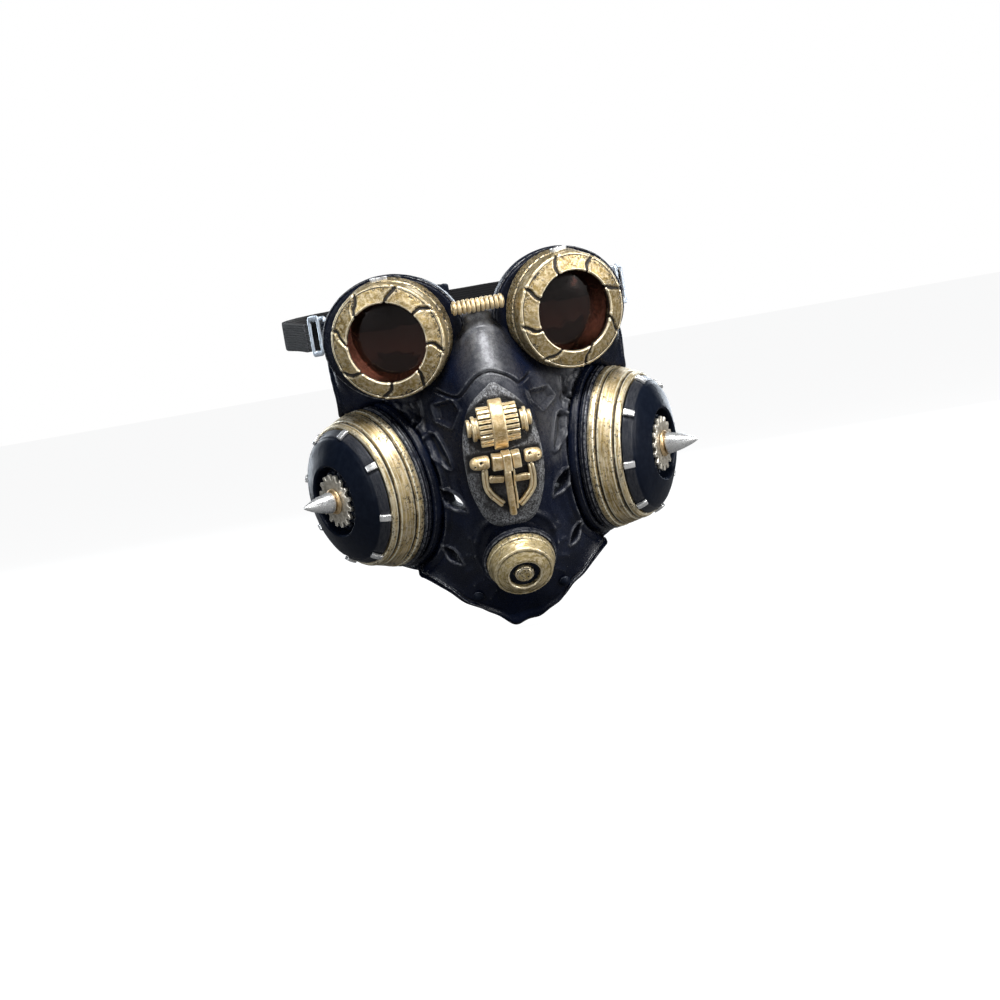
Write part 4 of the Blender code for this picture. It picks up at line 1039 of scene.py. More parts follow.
for s in (1, -1):
    tag = NAME[s]
    f = EYE[s]
    ob = lathe(f"goggle_housing_latex_{tag}", HOUSING, f, seg=176, warp=oval(s), rad=0.4, step=0.6)
    wobble(ob, 0.16, 6.0, 11 + s, 0.04, 1.3)
    settle(ob, RUBBER_RIM, "mask", "black_rubber", f"goggle_housing_{tag}")

    cracks = [curve_through([vec(*p) for p in c], 8) for c in CRACKS[s]]
    ob = lathe(f"goggle_bezel_painted_{tag}", BEZEL, f, seg=420, rad=0.28, step=0.42)
    l = f.into(verts_of(ob.data) / MM)
    r = np.hypot(l[:, 0], l[:, 1])
    face = smoothstep(l[:, 2], -0.6, 0.4) * smoothstep(r, 16.9, 17.3)
    h = np.zeros(len(l))
    hollow_black = np.zeros(len(l))
    for k, c in enumerate(cracks):
        d, t = path_dist(l[:, 0], l[:, 1], c)
        d = d + 0.10 * pnoise(l / 1.1, 31 + k)
        w = 0.80 * (0.75 + 0.30 * np.sin(t * math.pi))
        cut_in = 1 - smoothstep(d, w * 0.55, w * 1.25)
        h -= 0.95 * cut_in * face
        h += 0.14 * np.exp(-((d - 1.5) / 0.4) ** 2) * face
        hollow_black = np.maximum(hollow_black, (1 - smoothstep(d, w * 0.85, w * 1.15)) * face)
    band = np.exp(-((r - 22.9) / 0.9) ** 2) * face                 # speckled ring just inside the outer edge
    wall = smoothstep(-l[:, 2], 0.8, 7.5) * (r > 24)
    bore = smoothstep(r, 18.3, 17.5) * smoothstep(l[:, 2], 3.2, 2.6)
    nn = normals_of(ob.data)
    h += 0.13 * pnoise(l / 5.0, 21 + s) + 0.05 * pnoise(l / 1.3, 23)
    set_verts(ob.data, (verts_of(ob.data) / MM + nn * h[:, None]) * MM)
    put_float(ob, "mark", np.clip(0.45 * band + 0.62 * wall + 1.2 * hollow_black + 1.2 * bore, 0, 1))
    settle(ob, GOLD_BEZEL, "mask", "antique_brass", f"goggle_bezel_{tag}", gain=0.45, times=1)

    # lens: a shallow watch-glass
    ob = lathe(f"goggle_lens_glass_{tag}", [(0.0, -3.2), (8.0, -3.4), (15.5, -4.2), (22.9, -5.4), (22.9, -7.0), (15.5, -6.0), (8.0, -5.1), (0.0, -4.8)], f, seg=120, closed=False, rad=1.2, step=1.6)
    settle(ob, LENS, "mask", "smoked_lens", f"goggle_lens_{tag}")

    # clip: a small bent strip lying on the rim, with its tongue turned down
    def bend_clip(l):
        out = l.copy()
        out[:, 2] -= 0.028 * l[:, 0] ** 2
        out[:, 1] += 0.12 * np.sin(l[:, 0] * 0.8)
        return out
    # on the right goggle the silver clip stands where the rim shows a glossy reflection: a painted reflection
    lay = f.turned({1: 3.5, -1: -1.5}[s]).moved(0, {1: 26.2, -1: 26.5}[s], -3.3)
    a = block("clip_a", (7.6, 1.8, 1.0), lay, 0.38, 3, 5, bend_clip)
    b = block("clip_b", (3.0, 2.0, 0.5), lay.moved(-1.6, 0.0, 0.62), 0.2, 2, 3, bend_clip)
    ob = joined(f"goggle_clip_bent_{tag}", [a, b])
    settle(ob, SILVER, "mask", "silver", f"goggle_clip_{tag}")

# bridge tube: eleven rounded ribs on a core
rib = [(0.0, 11.3), (2.0, 11.3)]
for i in range(11):
    z = 11.0 - 2.0 * i
    rib += [(2.05, z), (2.75, z - 0.22), (3.1, z - 0.62), (3.15, z - 1.0), (3.1, z - 1.38), (2.75, z - 1.78), (2.05, z - 1.98)]
rib += [(2.0, -11.3), (0.0, -11.3)]
ob = lathe("bridge_tube_ribbed", rib, Frame((0, -93.5, 9.0), (1, 0, 0)), seg=72, closed=False, rad=0.15, step=0.35, n=2)
wobble(ob, 0.14, 2.6, 5)
put_float(ob, "mark", np.zeros(len(ob.data.vertices)))
settle(ob, GOLD_MECH, "mask", "antique_brass", "bridge_tube", gain=0.35)


# =============================================================================
# canisters
# =============================================================================
BAND = [(28.4, 13.2), (30.5, 13.6), (31.35, 13.0), (31.9, 11.5), (31.3, 11.0), (30.9, 10.6), (31.4, 10.1), (32.3, 9.8), (34.15, 4.3), (33.6, 3.8), (33.3, 3.4),
        (33.9, 3.0), (34.9, 2.7), (35.3, 0.9), (35.0, 0.0), (28.4, 0.0)]
CAP = [(15.2, 22.5), (15.9, 22.95), (19.0, 22.0), (22.2, 20.75), (24.6, 19.75), (26.3, 18.9), (27.2, 18.0), (28.5, 15.9), (29.7, 13.9), (28.1, 13.8), (28.1, 3.0), (26.4, 3.0),
       (26.4, 15.2), (2.7, 15.2), (2.7, 17.2), (14.4, 17.2), (14.8, 17.6)]
LUG_PHASE = {1: 32.0, -1: 23.5}


def toothed(radius, teeth, depth, phase=0.0, square=0.2):
    pts = []
    w = 2 * math.pi / teeth
    for i in range(teeth):
        a = w * i + phase
        for fpos, rr in ((-0.34, radius - depth), (-0.27, radius - 0.75 * depth), (-square, radius - 0.12), (-square + 0.07, radius),
                         (square - 0.07, radius), (square, radius - 0.12), (0.27, radius - 0.75 * depth), (0.34, radius - depth)):
            pts.append((rr * math.cos(a + fpos * w), rr * math.sin(a + fpos * w)))
    return np.array(pts)


def offset_loop(loop, d):
    """Move a counter-clockwise outline inward by d."""
    a, b = np.roll(loop, 1, 0), np.roll(loop, -1, 0)
    t = b - a
    t /= np.maximum(np.linalg.norm(t, axis=1, keepdims=True), 1e-9)
    return loop - np.stack([t[:, 1], -t[:, 0]], 1) * d


def plate(name, loop, z0, z1, fr, bevel=0.25, n=3, rings=(), warp=None):
    """Outline extruded from z0 to z1, with rounded rims; rings are (inset share, height) relief on the top face."""
    stations = []
    for k in range(n + 1):
        a = math.pi / 2 * k / n
        stations.append((z0 + bevel * (1 - math.sin(a)) if False else z0 + bevel - bevel * math.cos(a), bevel * (1 - math.sin(a))))
    for k in range(n + 1):
        a = math.pi / 2 * k / n
        stations.append((z1 - bevel + bevel * math.sin(a), bevel * (1 - math.cos(a))))
    verts = []
    for z, inset in stations:
        q = offset_loop(loop, inset)
        verts.append(np.column_stack([q, np.full(len(q), z)]))
    base = offset_loop(loop, bevel)
    centre = base.mean(0)
    for share, dz in rings:
        q = centre + (base - centre) * share
        verts.append(np.column_stack([q, np.full(len(q), z1 + dz)]))
    m = len(loop)
    rows = len(verts)
    top_z = z1 + (rings[-1][1] if rings else 0.0)
    verts = np.vstack(verts + [np.array([[centre[0], centre[1], z0], [centre[0], centre[1], top_z]])])
    faces = grid_faces(rows, m, wrap_c=True)
    lo, hi = rows * m, rows * m + 1
    faces += [[lo, (j + 1) % m, j] for j in range(m)]
    faces += [[hi, (rows - 1) * m + j, (rows - 1) * m + (j + 1) % m] for j in range(m)]
    local = verts if warp is None else warp(verts)
    ob = mesh_of(name, fr.out(local), faces)
    outward(ob)
    put_vector(ob, "loc", local)
    put_float(ob, "mark", np.zeros(len(local)))
    return ob


def circle(r, n=64):
    a = np.arange(n) * 2 * math.pi / n
    return np.stack([r * np.cos(a), r * np.sin(a)], 1)


for s in (1, -1):
    tag = NAME[s]
    f = CAN[s]
    body = f"cap_{tag}"
    ob = lathe(f"canister_flange_latex_{tag}", [(0.0, -4.0), (33.0, -4.0), (36.2, -4.1), (36.9, -4.6), (37.0, -5.2), (37.4, -5.8), (37.5, -7.0), (37.0, -8.0), (0.0, -8.0)], f, seg=168, closed=False, rad=0.4, step=1.0)
    wobble(ob, 0.14, 6.0, 41 + s)
    settle(ob, RUBBER_RIM, "mask", "black_rubber", f"canister_flange_{tag}")
    ob = lathe(f"canister_gasket_worn_{tag}", [(22.0, -0.3), (35.3, -0.3), (35.9, -0.9), (35.7, -1.6), (36.0, -2.2), (35.8, -3.2), (35.2, -3.7), (22.0, -3.7)], f, seg=168, rad=0.3, step=0.6)
    wobble(ob, 0.10, 4.0, 43 + s, 0.05, 1.2)
    settle(ob, RUBBER_RING, "mask", "black_rubber", f"canister_gasket_{tag}", gain=0.8)
    ob = lathe(f"canister_band_painted_{tag}", BAND, f, seg=220, rad=0.35, step=0.45)
    wobble(ob, 0.13, 5.0, 45 + s, 0.05, 1.3)
    l = f.into(verts_of(ob.data) / MM)
    put_float(ob, "mark", 0.12 + 0.45 * smoothstep(pnoise(l / vec(9, 9, 40), 77), -0.1, 0.6) + 0.32 * (l[:, 2] < 4.6))
    settle(ob, GOLD_BAND, "mask", "antique_brass", f"canister_band_{tag}", gain=0.6)

    # cap: the cone between its lugs is brushed lighter, each panel slightly proud
    phase = [90 - s * (LUG_PHASE[s] + 45 * k) for k in range(8)]

    def panels(l, f=f, phase=phase):
        r = np.hypot(l[:, 0], l[:, 1])
        a = np.degrees(np.arctan2(l[:, 1], l[:, 0]))
        gap = np.full(len(l), 99.0)
        for p in phase:
            gap = np.minimum(gap, np.abs((a - p + 180) % 360 - 180))
        cone = smoothstep(r, 27.0, 27.6) * smoothstep(l[:, 2], 13.6, 14.4)
        out = l.copy()
        lift = 0.35 * cone * smoothstep(gap, 4.0, 6.5)
        n = vec(0.86, 0.0, 0.51)
        out[:, 0] += lift * n[0] * l[:, 0] / np.maximum(r, 1e-6)
        out[:, 1] += lift * n[0] * l[:, 1] / np.maximum(r, 1e-6)
        out[:, 2] += lift * n[2]
        return out
    ob = lathe(f"canister_cap_satin_{tag}", CAP, f, seg=240, warp=panels, rad=0.5, step=0.7)
    l = f.into(verts_of(ob.data) / MM)
    r = np.hypot(l[:, 0], l[:, 1])
    cone = smoothstep(r, 27.2, 27.8) * smoothstep(l[:, 2], 13.2, 14.4)
    put_float(ob, "mark", cone * 0.9)
    wobble(ob, 0.10, 7.0, 47 + s, 0.03, 1.5)
    settle(ob, CAP_PAINT, body, "dark_paint", f"canister_cap_{tag}", gain=0.6)

    # lugs: rounded silver blocks that stand on the cone, each with a worn crown
    lugs = []
    for k, p in enumerate(phase):
        lf = f.turned(p).moved(29.25, 0, 16.3).turned(-31.3, "y")

        def crown(l, k=k):
            out = l.copy()
            out[:, 0] += 0.12 * np.cos(l[:, 2] * 0.9) + 0.06 * pnoise(l * 0.9 + 7 * k, 3)
            out[:, 1] *= 1.0 - 0.02 * l[:, 2]
            return out
        lugs.append(block("lug", (1.5, 2.9, 5.0), lf, 0.42, 3, 3, crown))
    ob = joined(f"cap_lugs_silver_{tag}", lugs)
    settle(ob, SILVER, body, "silver", f"cap_lugs_{tag}")

    # rear cog in the recess, then the pale cog, its hub ring, collar and spike
    ob = plate(f"cog_rear_dark_{tag}", toothed(12.6, 18, 1.3, 0.1), 18.9, 20.4, f, 0.2)
    settle(ob, CAP_PAINT, body, "dark_paint", f"cog_rear_{tag}")
    c = plate("cog_disc", toothed(11.8, 16, 2.1, 0.0, 0.19), 20.8, 22.5, f, 0.30, 3, ((0.90, 0.0), (0.70, 0.05), (0.55, -0.05)))
    wobble(c, 0.07, 2.5, 61 + s)
    settle(joined(f"cog_cast_{tag}", [c]), COG, f"cog_wheel_{tag}", "pale_brass", f"cog_{tag}", gain=0.5)
    ob = lathe(f"spike_collar_ring_{tag}", [(2.7, 24.1), (4.0, 24.15), (4.9, 23.95), (5.5, 23.5), (5.7, 23.0), (5.6, 22.7), (2.7, 22.7)], f, seg=72, rad=0.3, step=0.4)
    wobble(ob, 0.08, 2.0, 63)
    settle(ob, HUB, body, "antique_brass", f"spike_collar_{tag}")
    tip = f.moved(0, 0, 24.0).turned(-5.0, "x").moved(0, 0, -24.0)
    ob = lathe(f"spike_polished_{tag}", [(0.0, 38.3), (0.55, 37.95), (1.25, 36.7), (2.35, 34.1), (3.3, 31.2), (4.0, 28.4), (4.45, 26.2), (4.6, 25.0), (4.4, 24.45), (3.6, 24.2), (2.5, 24.0), (2.4, 23.0), (0.0, 23.0)],
               tip, seg=96, closed=False, rad=0.5, step=0.5)
    wobble(ob, 0.07, 4.0, 65 + s)
    settle(ob, SILVER, body, "silver", f"spike_{tag}")
    ob = lathe(f"spike_screw_head_{tag}", [(0.0, 14.6), (2.8, 14.6), (2.9, 14.85), (5.0, 14.9), (5.2, 14.6), (5.2, 13.0), (4.4, 12.4), (0.9, 12.4), (0.8, 13.2), (0.0, 13.2)], f, seg=48, closed=False, rad=0.2, step=0.5)
    settle(ob, STEEL, body, "steel", f"spike_screw_{tag}")


# =============================================================================
# chin valve
# =============================================================================
ob = lathe("valve_seat_painted", [(9.0, 0.0), (15.4, 0.1), (15.9, -0.5), (16.2, -1.4), (15.8, -2.4), (15.0, -3.0), (8.6, -3.0), (8.6, -8.0), (7.0, -8.0), (7.0, -1.5), (9.0, -1.5)], VAL, seg=144, rad=0.35, step=0.5)
wobble(ob, 0.12, 3.5, 71)
settle(ob, RUBBER_RING, "mask", "antique_brass", "valve_seat", gain=0.9)
ob = lathe("valve_socket_latex", [(9.0, -3.3), (13.6, -3.3), (13.6, -14.0), (9.0, -14.0)], VAL, seg=96, rad=0.4, step=1.0)
settle(ob, RUBBER, "mask", "black_rubber", "valve_socket")
ob = lathe("valve_cover_painted", [(6.8, 10.4), (7.2, 10.85), (8.0, 10.75), (8.6, 10.35), (11.4, 8.7), (12.1, 8.75), (12.75, 8.3), (13.0, 7.3), (13.7, 4.2), (14.0, 3.4), (14.5, 3.0), (14.75, 1.2), (14.6, 0.3), (12.4, 0.3), (11.4, 6.0), (6.8, 8.2)],
           VAL, seg=168, rad=0.3, step=0.4)
l = VAL.into(verts_of(ob.data) / MM)
put_float(ob, "mark", 0.5 * smoothstep(-l[:, 2], -5.5, -1.0) + 0.2 * smoothstep(pnoise(l / 4, 8), 0, 0.5))
wobble(ob, 0.13, 3.5, 73, 0.05, 1.1)
settle(ob, GOLD_VALVE, "mask", "antique_brass", "valve_cover", gain=0.45)
ob = lathe("valve_ring_dark", [(4.5, 9.2), (6.4, 9.2), (6.4, 7.2), (4.5, 7.2)], VAL, seg=72, rad=0.2, step=0.5)
settle(ob, CAP_PAINT, "mask", "dark_paint", "valve_ring")
ob = lathe("valve_boss_painted", [(0.0, 10.9), (2.6, 10.85), (3.3, 10.65), (3.5, 10.35), (3.8, 10.25), (4.1, 9.8), (4.2, 8.6), (4.2, 5.0), (6.6, 5.0), (6.6, 3.4), (0.0, 3.4)], VAL, seg=84, closed=False, rad=0.25, step=0.3)
wobble(ob, 0.12, 1.6, 75)
put_float(ob, "mark", np.full(len(ob.data.vertices), 0.75))
settle(ob, GOLD_VALVE, "mask", "pale_brass", "valve_boss", gain=0.45)
for s in (1, -1):
    tag = NAME[s]
    n = vec(s * 0.22, -0.80, -0.56)
    f = Frame((18.8, -70.3, -114.2), n, s).moved(0, 0, 0.1)
    ob = lathe(f"chin_rivet_dome_{tag}", [(0.0, 1.95), (0.8, 1.85), (1.6, 1.35), (2.3, 0.7), (2.45, 0.35), (2.3, 0.1), (1.25, -0.2), (1.25, -4.0), (0.0, -4.0)], f, seg=48, closed=False, rad=0.25, step=0.4)
    wobble(ob, 0.07, 1.5, 79 + s)
    settle(ob, CAP_PAINT, "mask", "dark_paint", f"chin_rivet_{tag}")


# =============================================================================
# nose plaque and its relief
# =============================================================================
PLAQUE_MID = [(-24.0, -108.2), (-32.0, -109.0), (-42.0, -109.2), (-52.0, -108.4), (-60.0, -106.2), (-68.0, -102.2), (-76.0, -97.4), (-84.5, -92.0), (-86.6, -90.6)]
PLAQUE_RIM = [(-0.9, -24.3), (3.0, -27.0), (7.3, -30.9), (10.3, -34.7), (12.5, -38.9), (14.2, -45.0), (15.1, -50.0), (15.6, -57.0), (15.6, -63.0), (14.9, -68.8), (13.2, -75.4),
              (11.2, -80.2), (8.4, -83.8), (4.4, -85.7), (0.0, -86.1), (-4.8, -85.8), (-9.0, -84.2), (-11.8, -81.4), (-13.4, -78.6), (-15.0, -74.2), (-16.3, -70.0), (-17.1, -65.8),
              (-17.6, -58.2), (-17.5, -51.0), (-16.8, -45.5), (-15.3, -39.9), (-13.4, -35.0), (-11.1, -31.6), (-8.0, -28.9), (-4.7, -26.5)]
_mid = curve_through([vec(*p) for p in PLAQUE_MID], 8)[::-1]


def plaque_y(z):
    return np.interp(z, _mid[:, 0], _mid[:, 1])


def on_plaque(x, z, lift=0.0):
    x, z = np.asarray(x, float), np.asarray(z, float)
    return np.stack([x, plaque_y(z) + 0.012 * x * x - lift, z * np.ones_like(x)], -1)


def build_plaque():
    outline = curve_through([vec(*p) for p in PLAQUE_RIM[::-1]], 6, True)
    seg = np.linalg.norm(np.diff(np.vstack([outline, outline[:1]]), axis=0), axis=1)
    s = np.concatenate([[0], np.cumsum(seg)])
    n = 260
    t = np.arange(n) / n * s[-1]
    closed = np.vstack([outline, outline[:1]])
    rim = np.stack([np.interp(t, s, closed[:, 0]), np.interp(t, s, closed[:, 1])], 1)
    centre = vec(-1.0, -56.0)
    m = 44
    shares = 1 - np.linspace(0, 1, m + 1)[1:] ** 1.15
    front = []
    for share in np.concatenate([[1.0], shares[:-1]]):
        front.append(centre + (rim - centre) * share)
    front = np.array(front)                                        # (rows, n, 2)
    flat = front.reshape(-1, 2)
    sd = -poly_sd(flat[:, 0], flat[:, 1], rim)
    sd = np.maximum(sd, 0)
    x, z = flat.T
    lift = -1.5 * (1 - smoothstep(sd, 0.0, 1.7)) ** 1.6            # rounded edge
    lift += 0.35 * np.exp(-((sd - 2.1) / 0.9) ** 2)                # faint welt along the edge
    lift += 0.22 * pnoise(np.stack([x / 5, z / 5, z * 0], 1), 5) + 0.10 * pnoise(np.stack([x / 1.6, z / 1.6, z * 0], 1), 6)
    # the bed of the mechanism is pressed in and shaded
    bed_a = [(-14.4, -36.5), (-10.0, -32.6), (-5.5, -30.6), (1.8, -30.9), (7.6, -33.0), (12.6, -37.2), (13.2, -44.0), (9.6, -50.5), (1.6, -52.6), (-10.6, -52.0), (-14.6, -47.6), (-15.4, -42.0)]
    bed_b = [(-16.6, -53.4), (14.2, -53.2), (14.8, -59.6), (11.2, -61.3), (11.4, -69.5), (8.6, -73.8), (3.6, -78.4), (0.8, -80.0), (-1.6, -79.6), (-5.2, -77.0), (-9.6, -72.8), (-11.8, -68.4), (-11.8, -61.3), (-17.0, -60.2)]
    sa, sb = poly_sd(x, z, bed_a), poly_sd(x, z, bed_b)
    near = np.minimum(sa, sb)
    lift -= 0.35 * smoothstep(-near, -1.2, 0.8)
    shade = 0.97 * smoothstep(-near, -1.7, 0.6) * (1 - 0.45 * smoothstep(-z, 65, 70) * smoothstep(-near, 1.8, 3.4))
    p = on_plaque(x, z, 0.0)
    p[:, 1] -= lift
    mark = 0.42 + 0.5 * (1 - smoothstep(sd, 0.6, 3.4)) + 0.35 * smoothstep(z, -36, -28) + 0.20 * smoothstep(x, 3, 13) + 0.2 * smoothstep(-z, 76, 82)
    rows, cols = front.shape[:2]
    back = on_plaque(rim[:, 0] * 0.985, (rim[:, 1] + 56) * 0.99 - 56, -2.1)
    back[:, 1] += 0.018 * rim[:, 0] ** 2
    c_front, c_back = on_plaque(0, -56.0, lift[-1]), on_plaque(0, -56.0, -2.1)
    verts = np.vstack([p, back, c_front[None], c_back[None]])
    faces = grid_faces(rows, cols, wrap_c=True)
    b0 = rows * cols
    faces += [[j, (j + 1) % cols, b0 + (j + 1) % cols, b0 + j] for j in range(cols)]
    cf, cb = b0 + cols, b0 + cols + 1
    last = (rows - 1) * cols
    faces += [[cf, last + j, last + (j + 1) % cols] for j in range(cols)]
    faces += [[cb, b0 + (j + 1) % cols, b0 + j] for j in range(cols)]
    ob = mesh_of("nose_plaque_leather", verts, faces)
    outward(ob)
    pad = np.zeros(cols + 2)
    put_float(ob, "mark", np.concatenate([np.clip(mark, 0, 1), pad]))
    put_float(ob, "shade", np.concatenate([shade, pad]))
    put_vector(ob, "loc", verts)
    settle(ob, LEATHER, "mask", "grey_leather", "nose_plaque", gain=0.7)


build_plaque()


def relief_frame(x, z, lift):
    """Local X along world X, local Y up the plaque, local Z out of it."""
    e = 0.5
    t = on_plaque(0.0, z + e) - on_plaque(0.0, z - e)
    y = t / np.linalg.norm(t)
    xx = vec(1, 0, 0)
    n = np.cross(xx, y)
    o = on_plaque(x, z, 0.0) + n * lift
    return axes(o, xx, y, n)


def arch(name, x, width, z, half_chord, rise, lift, ribs=0, depth=0.0, end=0.35, base_y=0.0):
    """D-section bar whose back arches over the plaque, swept along X; ribs run along X."""
    f = relief_frame(0.0, z, lift)
    r = (half_chord ** 2 + rise ** 2) / (2 * rise)
    span = math.asin(min(1.0, half_chord / r))
    if rise > r:
        span = math.pi - span
    n = ribs * 16 if ribs else 44
    a = span * (2 * np.arange(n + 1) / n - 1)
    wave = np.zeros(n + 1)
    if ribs:
        ph = (np.arange(n + 1) / 16.0) % 1.0
        d = np.abs(ph - 0.5)                                       # 0 on a rib's crest, 0.5 in the gap
        wave = -depth * smoothstep(d, 0.27, 0.43)
    top = np.stack([(r + wave) * np.sin(a), (r + wave) * np.cos(a) - (r - rise)], 1)
    base = np.stack([np.linspace(half_chord, -half_chord, 9)[1:-1], np.zeros(7) - 0.6], 1)
    loop = np.vstack([top, base])
    stations = [(-width / 2, end), (-width / 2 + 0.1 * end, 0.55 * end), (-width / 2 + 0.45 * end, 0.15 * end), (-width / 2 + end, 0.0)]
    k = max(2, int(width / 0.7))
    mids = [(-width / 2 + end + (width - 2 * end) * i / k, 0.0) for i in range(1, k)]
    stations = stations + mids + [(-q, w) for q, w in stations[::-1]]
    centre = vec(0, rise * 0.35)
    # painted shade: the gaps between the ribs and the ends of a ribbed drum are marked black
    rib_gap_shade = np.concatenate([np.clip(-wave / max(depth, 1e-6), 0, 1), np.zeros(len(base))])
    hollow_black = np.zeros((len(stations), len(loop)))
    for k, (q, inset) in enumerate(stations):
        hollow_black[k] = np.maximum(rib_gap_shade, 0.95 * smoothstep(inset, 0.6 * end, end) * (ribs > 0))
    verts = []
    for q, inset in stations:
        d = loop - centre
        ln = np.linalg.norm(d, axis=1, keepdims=True)
        lp = centre + d * (1 - inset / np.maximum(ln, 1e-6))
        verts.append(np.column_stack([np.full(len(lp), x + q), lp]))
    m = len(loop)
    rows = len(verts)
    ends = np.array([[x + stations[0][0], *centre], [x + stations[-1][0], *centre]])
    local = np.vstack(verts + [ends])
    faces = grid_faces(rows, m, wrap_c=True)
    lo, hi = rows * m, rows * m + 1
    faces += [[lo, (j + 1) % m, j] for j in range(m)] + [[hi, (rows - 1) * m + j, (rows - 1) * m + (j + 1) % m] for j in range(m)]
    ob = mesh_of(name, f.out(local), faces)
    outward(ob)
    put_vector(ob, "loc", local)
    put_float(ob, "mark", np.concatenate([hollow_black.ravel(), [0.0, 0.0]]))
    return ob


def mech(ob, name, slot_name, *nodes, amp=0.09, seed=90, gain=0.45):
    ob = joined(name, ob if isinstance(ob, list) else [ob])
    wobble(ob, amp, 2.4, seed, 0.03, 0.9)
    v = verts_of(ob.data) / MM
    lift = plaque_y(v[:, 2]) + 0.012 * v[:, 0] ** 2 - v[:, 1]
    old = np.zeros(len(v), dtype=np.float32)
    ob.data.attributes["mark"].data.foreach_get("value", old)
    # painted shade: the foot of each piece, where it meets the plaque, is marked black
    contact_shade = smoothstep(lift + 0.35 * pnoise(v / 1.1, seed), 1.15, 0.35)
    put_float(ob, "mark", np.maximum(old, contact_shade))
    return settle(ob, GOLD_MECH, "mask", slot_name, *nodes, gain=gain)


DRUM = {1: (4.0, 5.8, -41.6, 8.4), -1: (-7.1, 6.0, -42.2, 8.8)}
DISC = {1: ((9.5, 2.6, -41.7, 5.3), (11.7, 2.2, -41.2, 3.3)), -1: ((-11.7, 2.8, -42.4, 5.4), (-14.1, 2.2, -41.9, 3.8))}
for s in (1, -1):
    tag = NAME[s]
    x, w, z, hc = DRUM[s]
    mech(arch("drum", x, w, z, hc, 4.9, 0.2, ribs=9, depth=1.35, end=0.4), f"roller_drum_bars_{tag}", "antique_brass", f"roller_drum_{tag}", seed=91 + s)
    (xa, wa, za, ha), (xb, wb, zb, hb) = DISC[s]
    a = arch("capa", xa + s * 0.5, wa - 1.2, za, ha, 3.9, 0.0, end=0.45)
    a2 = arch("capa2", xa - s * 0.7, wa - 0.9, za, ha - 0.9, 3.3, 0.0, end=0.3)
    b = arch("capb", xb + s * 0.2, wb - 0.6, zb, hb, 3.2, -0.5, end=0.55)
    c = arch("capc", xb - s * 1.2, 1.4, zb, hb - 1.2, 2.2, -0.4, end=0.2)
    mech([a, a2, b, c], f"roller_end_discs_{tag}", "antique_brass", f"roller_end_cap_{tag}", seed=95 + s)
mech(arch("band", -1.75, 6.0, -41.9, 10.7, 6.4, 0.1, end=0.75), "roller_band_bevelled", "antique_brass", "roller_band", seed=99, amp=0.12)

BAR_Z = -57.0
bar = on_plaque(0.0, BAR_Z, 3.7)
HINGE = {1: (6.9, 0.90, ((9.0, 0.8, 0.72), (12.6, -0.7, 0.42)), (3.45, 3.7, 7.1)), -1: (8.2, 1.02, ((-11.9, -0.1, 0.72), (-14.6, -1.6, 0.45)), (-4.65, 4.7, 6.6))}
for s in (1, -1):
    tag = NAME[s]
    first, k, drilled, (cx0, cw, ch) = HINGE[s]
    fx = Frame(bar, vec(s, 0, 0))
    fx.o = bar.copy()
    prof = [(0.0, 17.1), (1.3, 16.95), (2.3, 16.2), (2.8, 14.9), (2.95, 13.0), (2.9, 10.4), (2.75, 9.5), (2.2, 8.9), (0.0, 8.9)]
    e = lathe("end", [(r, first + (z - 8.9) * k) for r, z in prof], fx, seg=72, closed=False, rad=0.6, step=0.35)
    l = verts_of(e.data) / MM
    n = normals_of(e.data)
    h = np.zeros(len(l))
    hollow_black = np.zeros(len(l))
    # painted shade: each drilled hole is a shallow dent marked black inside
    for cx, cz, rr in drilled:
        d = np.hypot(l[:, 0] - bar[0] - cx, l[:, 2] - bar[2] - cz)
        on = l[:, 1] < bar[1]
        h -= on * 0.8 * (1 - smoothstep(d, rr * 0.6, rr * 1.3))
        hollow_black = np.maximum(hollow_black, on * (1 - smoothstep(d, rr * 0.8, rr * 1.25)))
    set_verts(e.data, (l + n * h[:, None]) * MM)
    put_float(e, "mark", hollow_black)
    mech(e, f"hinge_end_drilled_{tag}", "antique_brass", f"hinge_end_{tag}", seed=101 + s, amp=0.12)
    # collar: a squared, slightly tapered block with rounded edges
    cf = relief_frame(cx0, BAR_Z, 3.0)
    a = block("col_a", (cw, ch, 4.8), cf.turned(s * 2.0), 0.7, 3, 3, lambda l, s=s: l * np.stack([1 - 0.02 * l[:, 2], 1 - 0.045 * l[:, 2] + 0.012 * s * l[:, 0], np.ones(len(l))], 1))
    mech([a], f"hinge_collar_block_{tag}", "antique_brass", f"hinge_collar_{tag}", seed=105 + s, amp=0.12)
cf = relief_frame(-0.75, BAR_Z + 0.1, 4.0)
a = block("clasp", (3.7, 8.0, 6.4), cf, 0.6, 3, 4, lambda l: l * np.stack([1 - 0.018 * l[:, 2], 1 - 0.02 * l[:, 2], np.ones(len(l))], 1))
mech([a], "clasp_block_bevelled", "antique_brass", "clasp_block", seed=111)


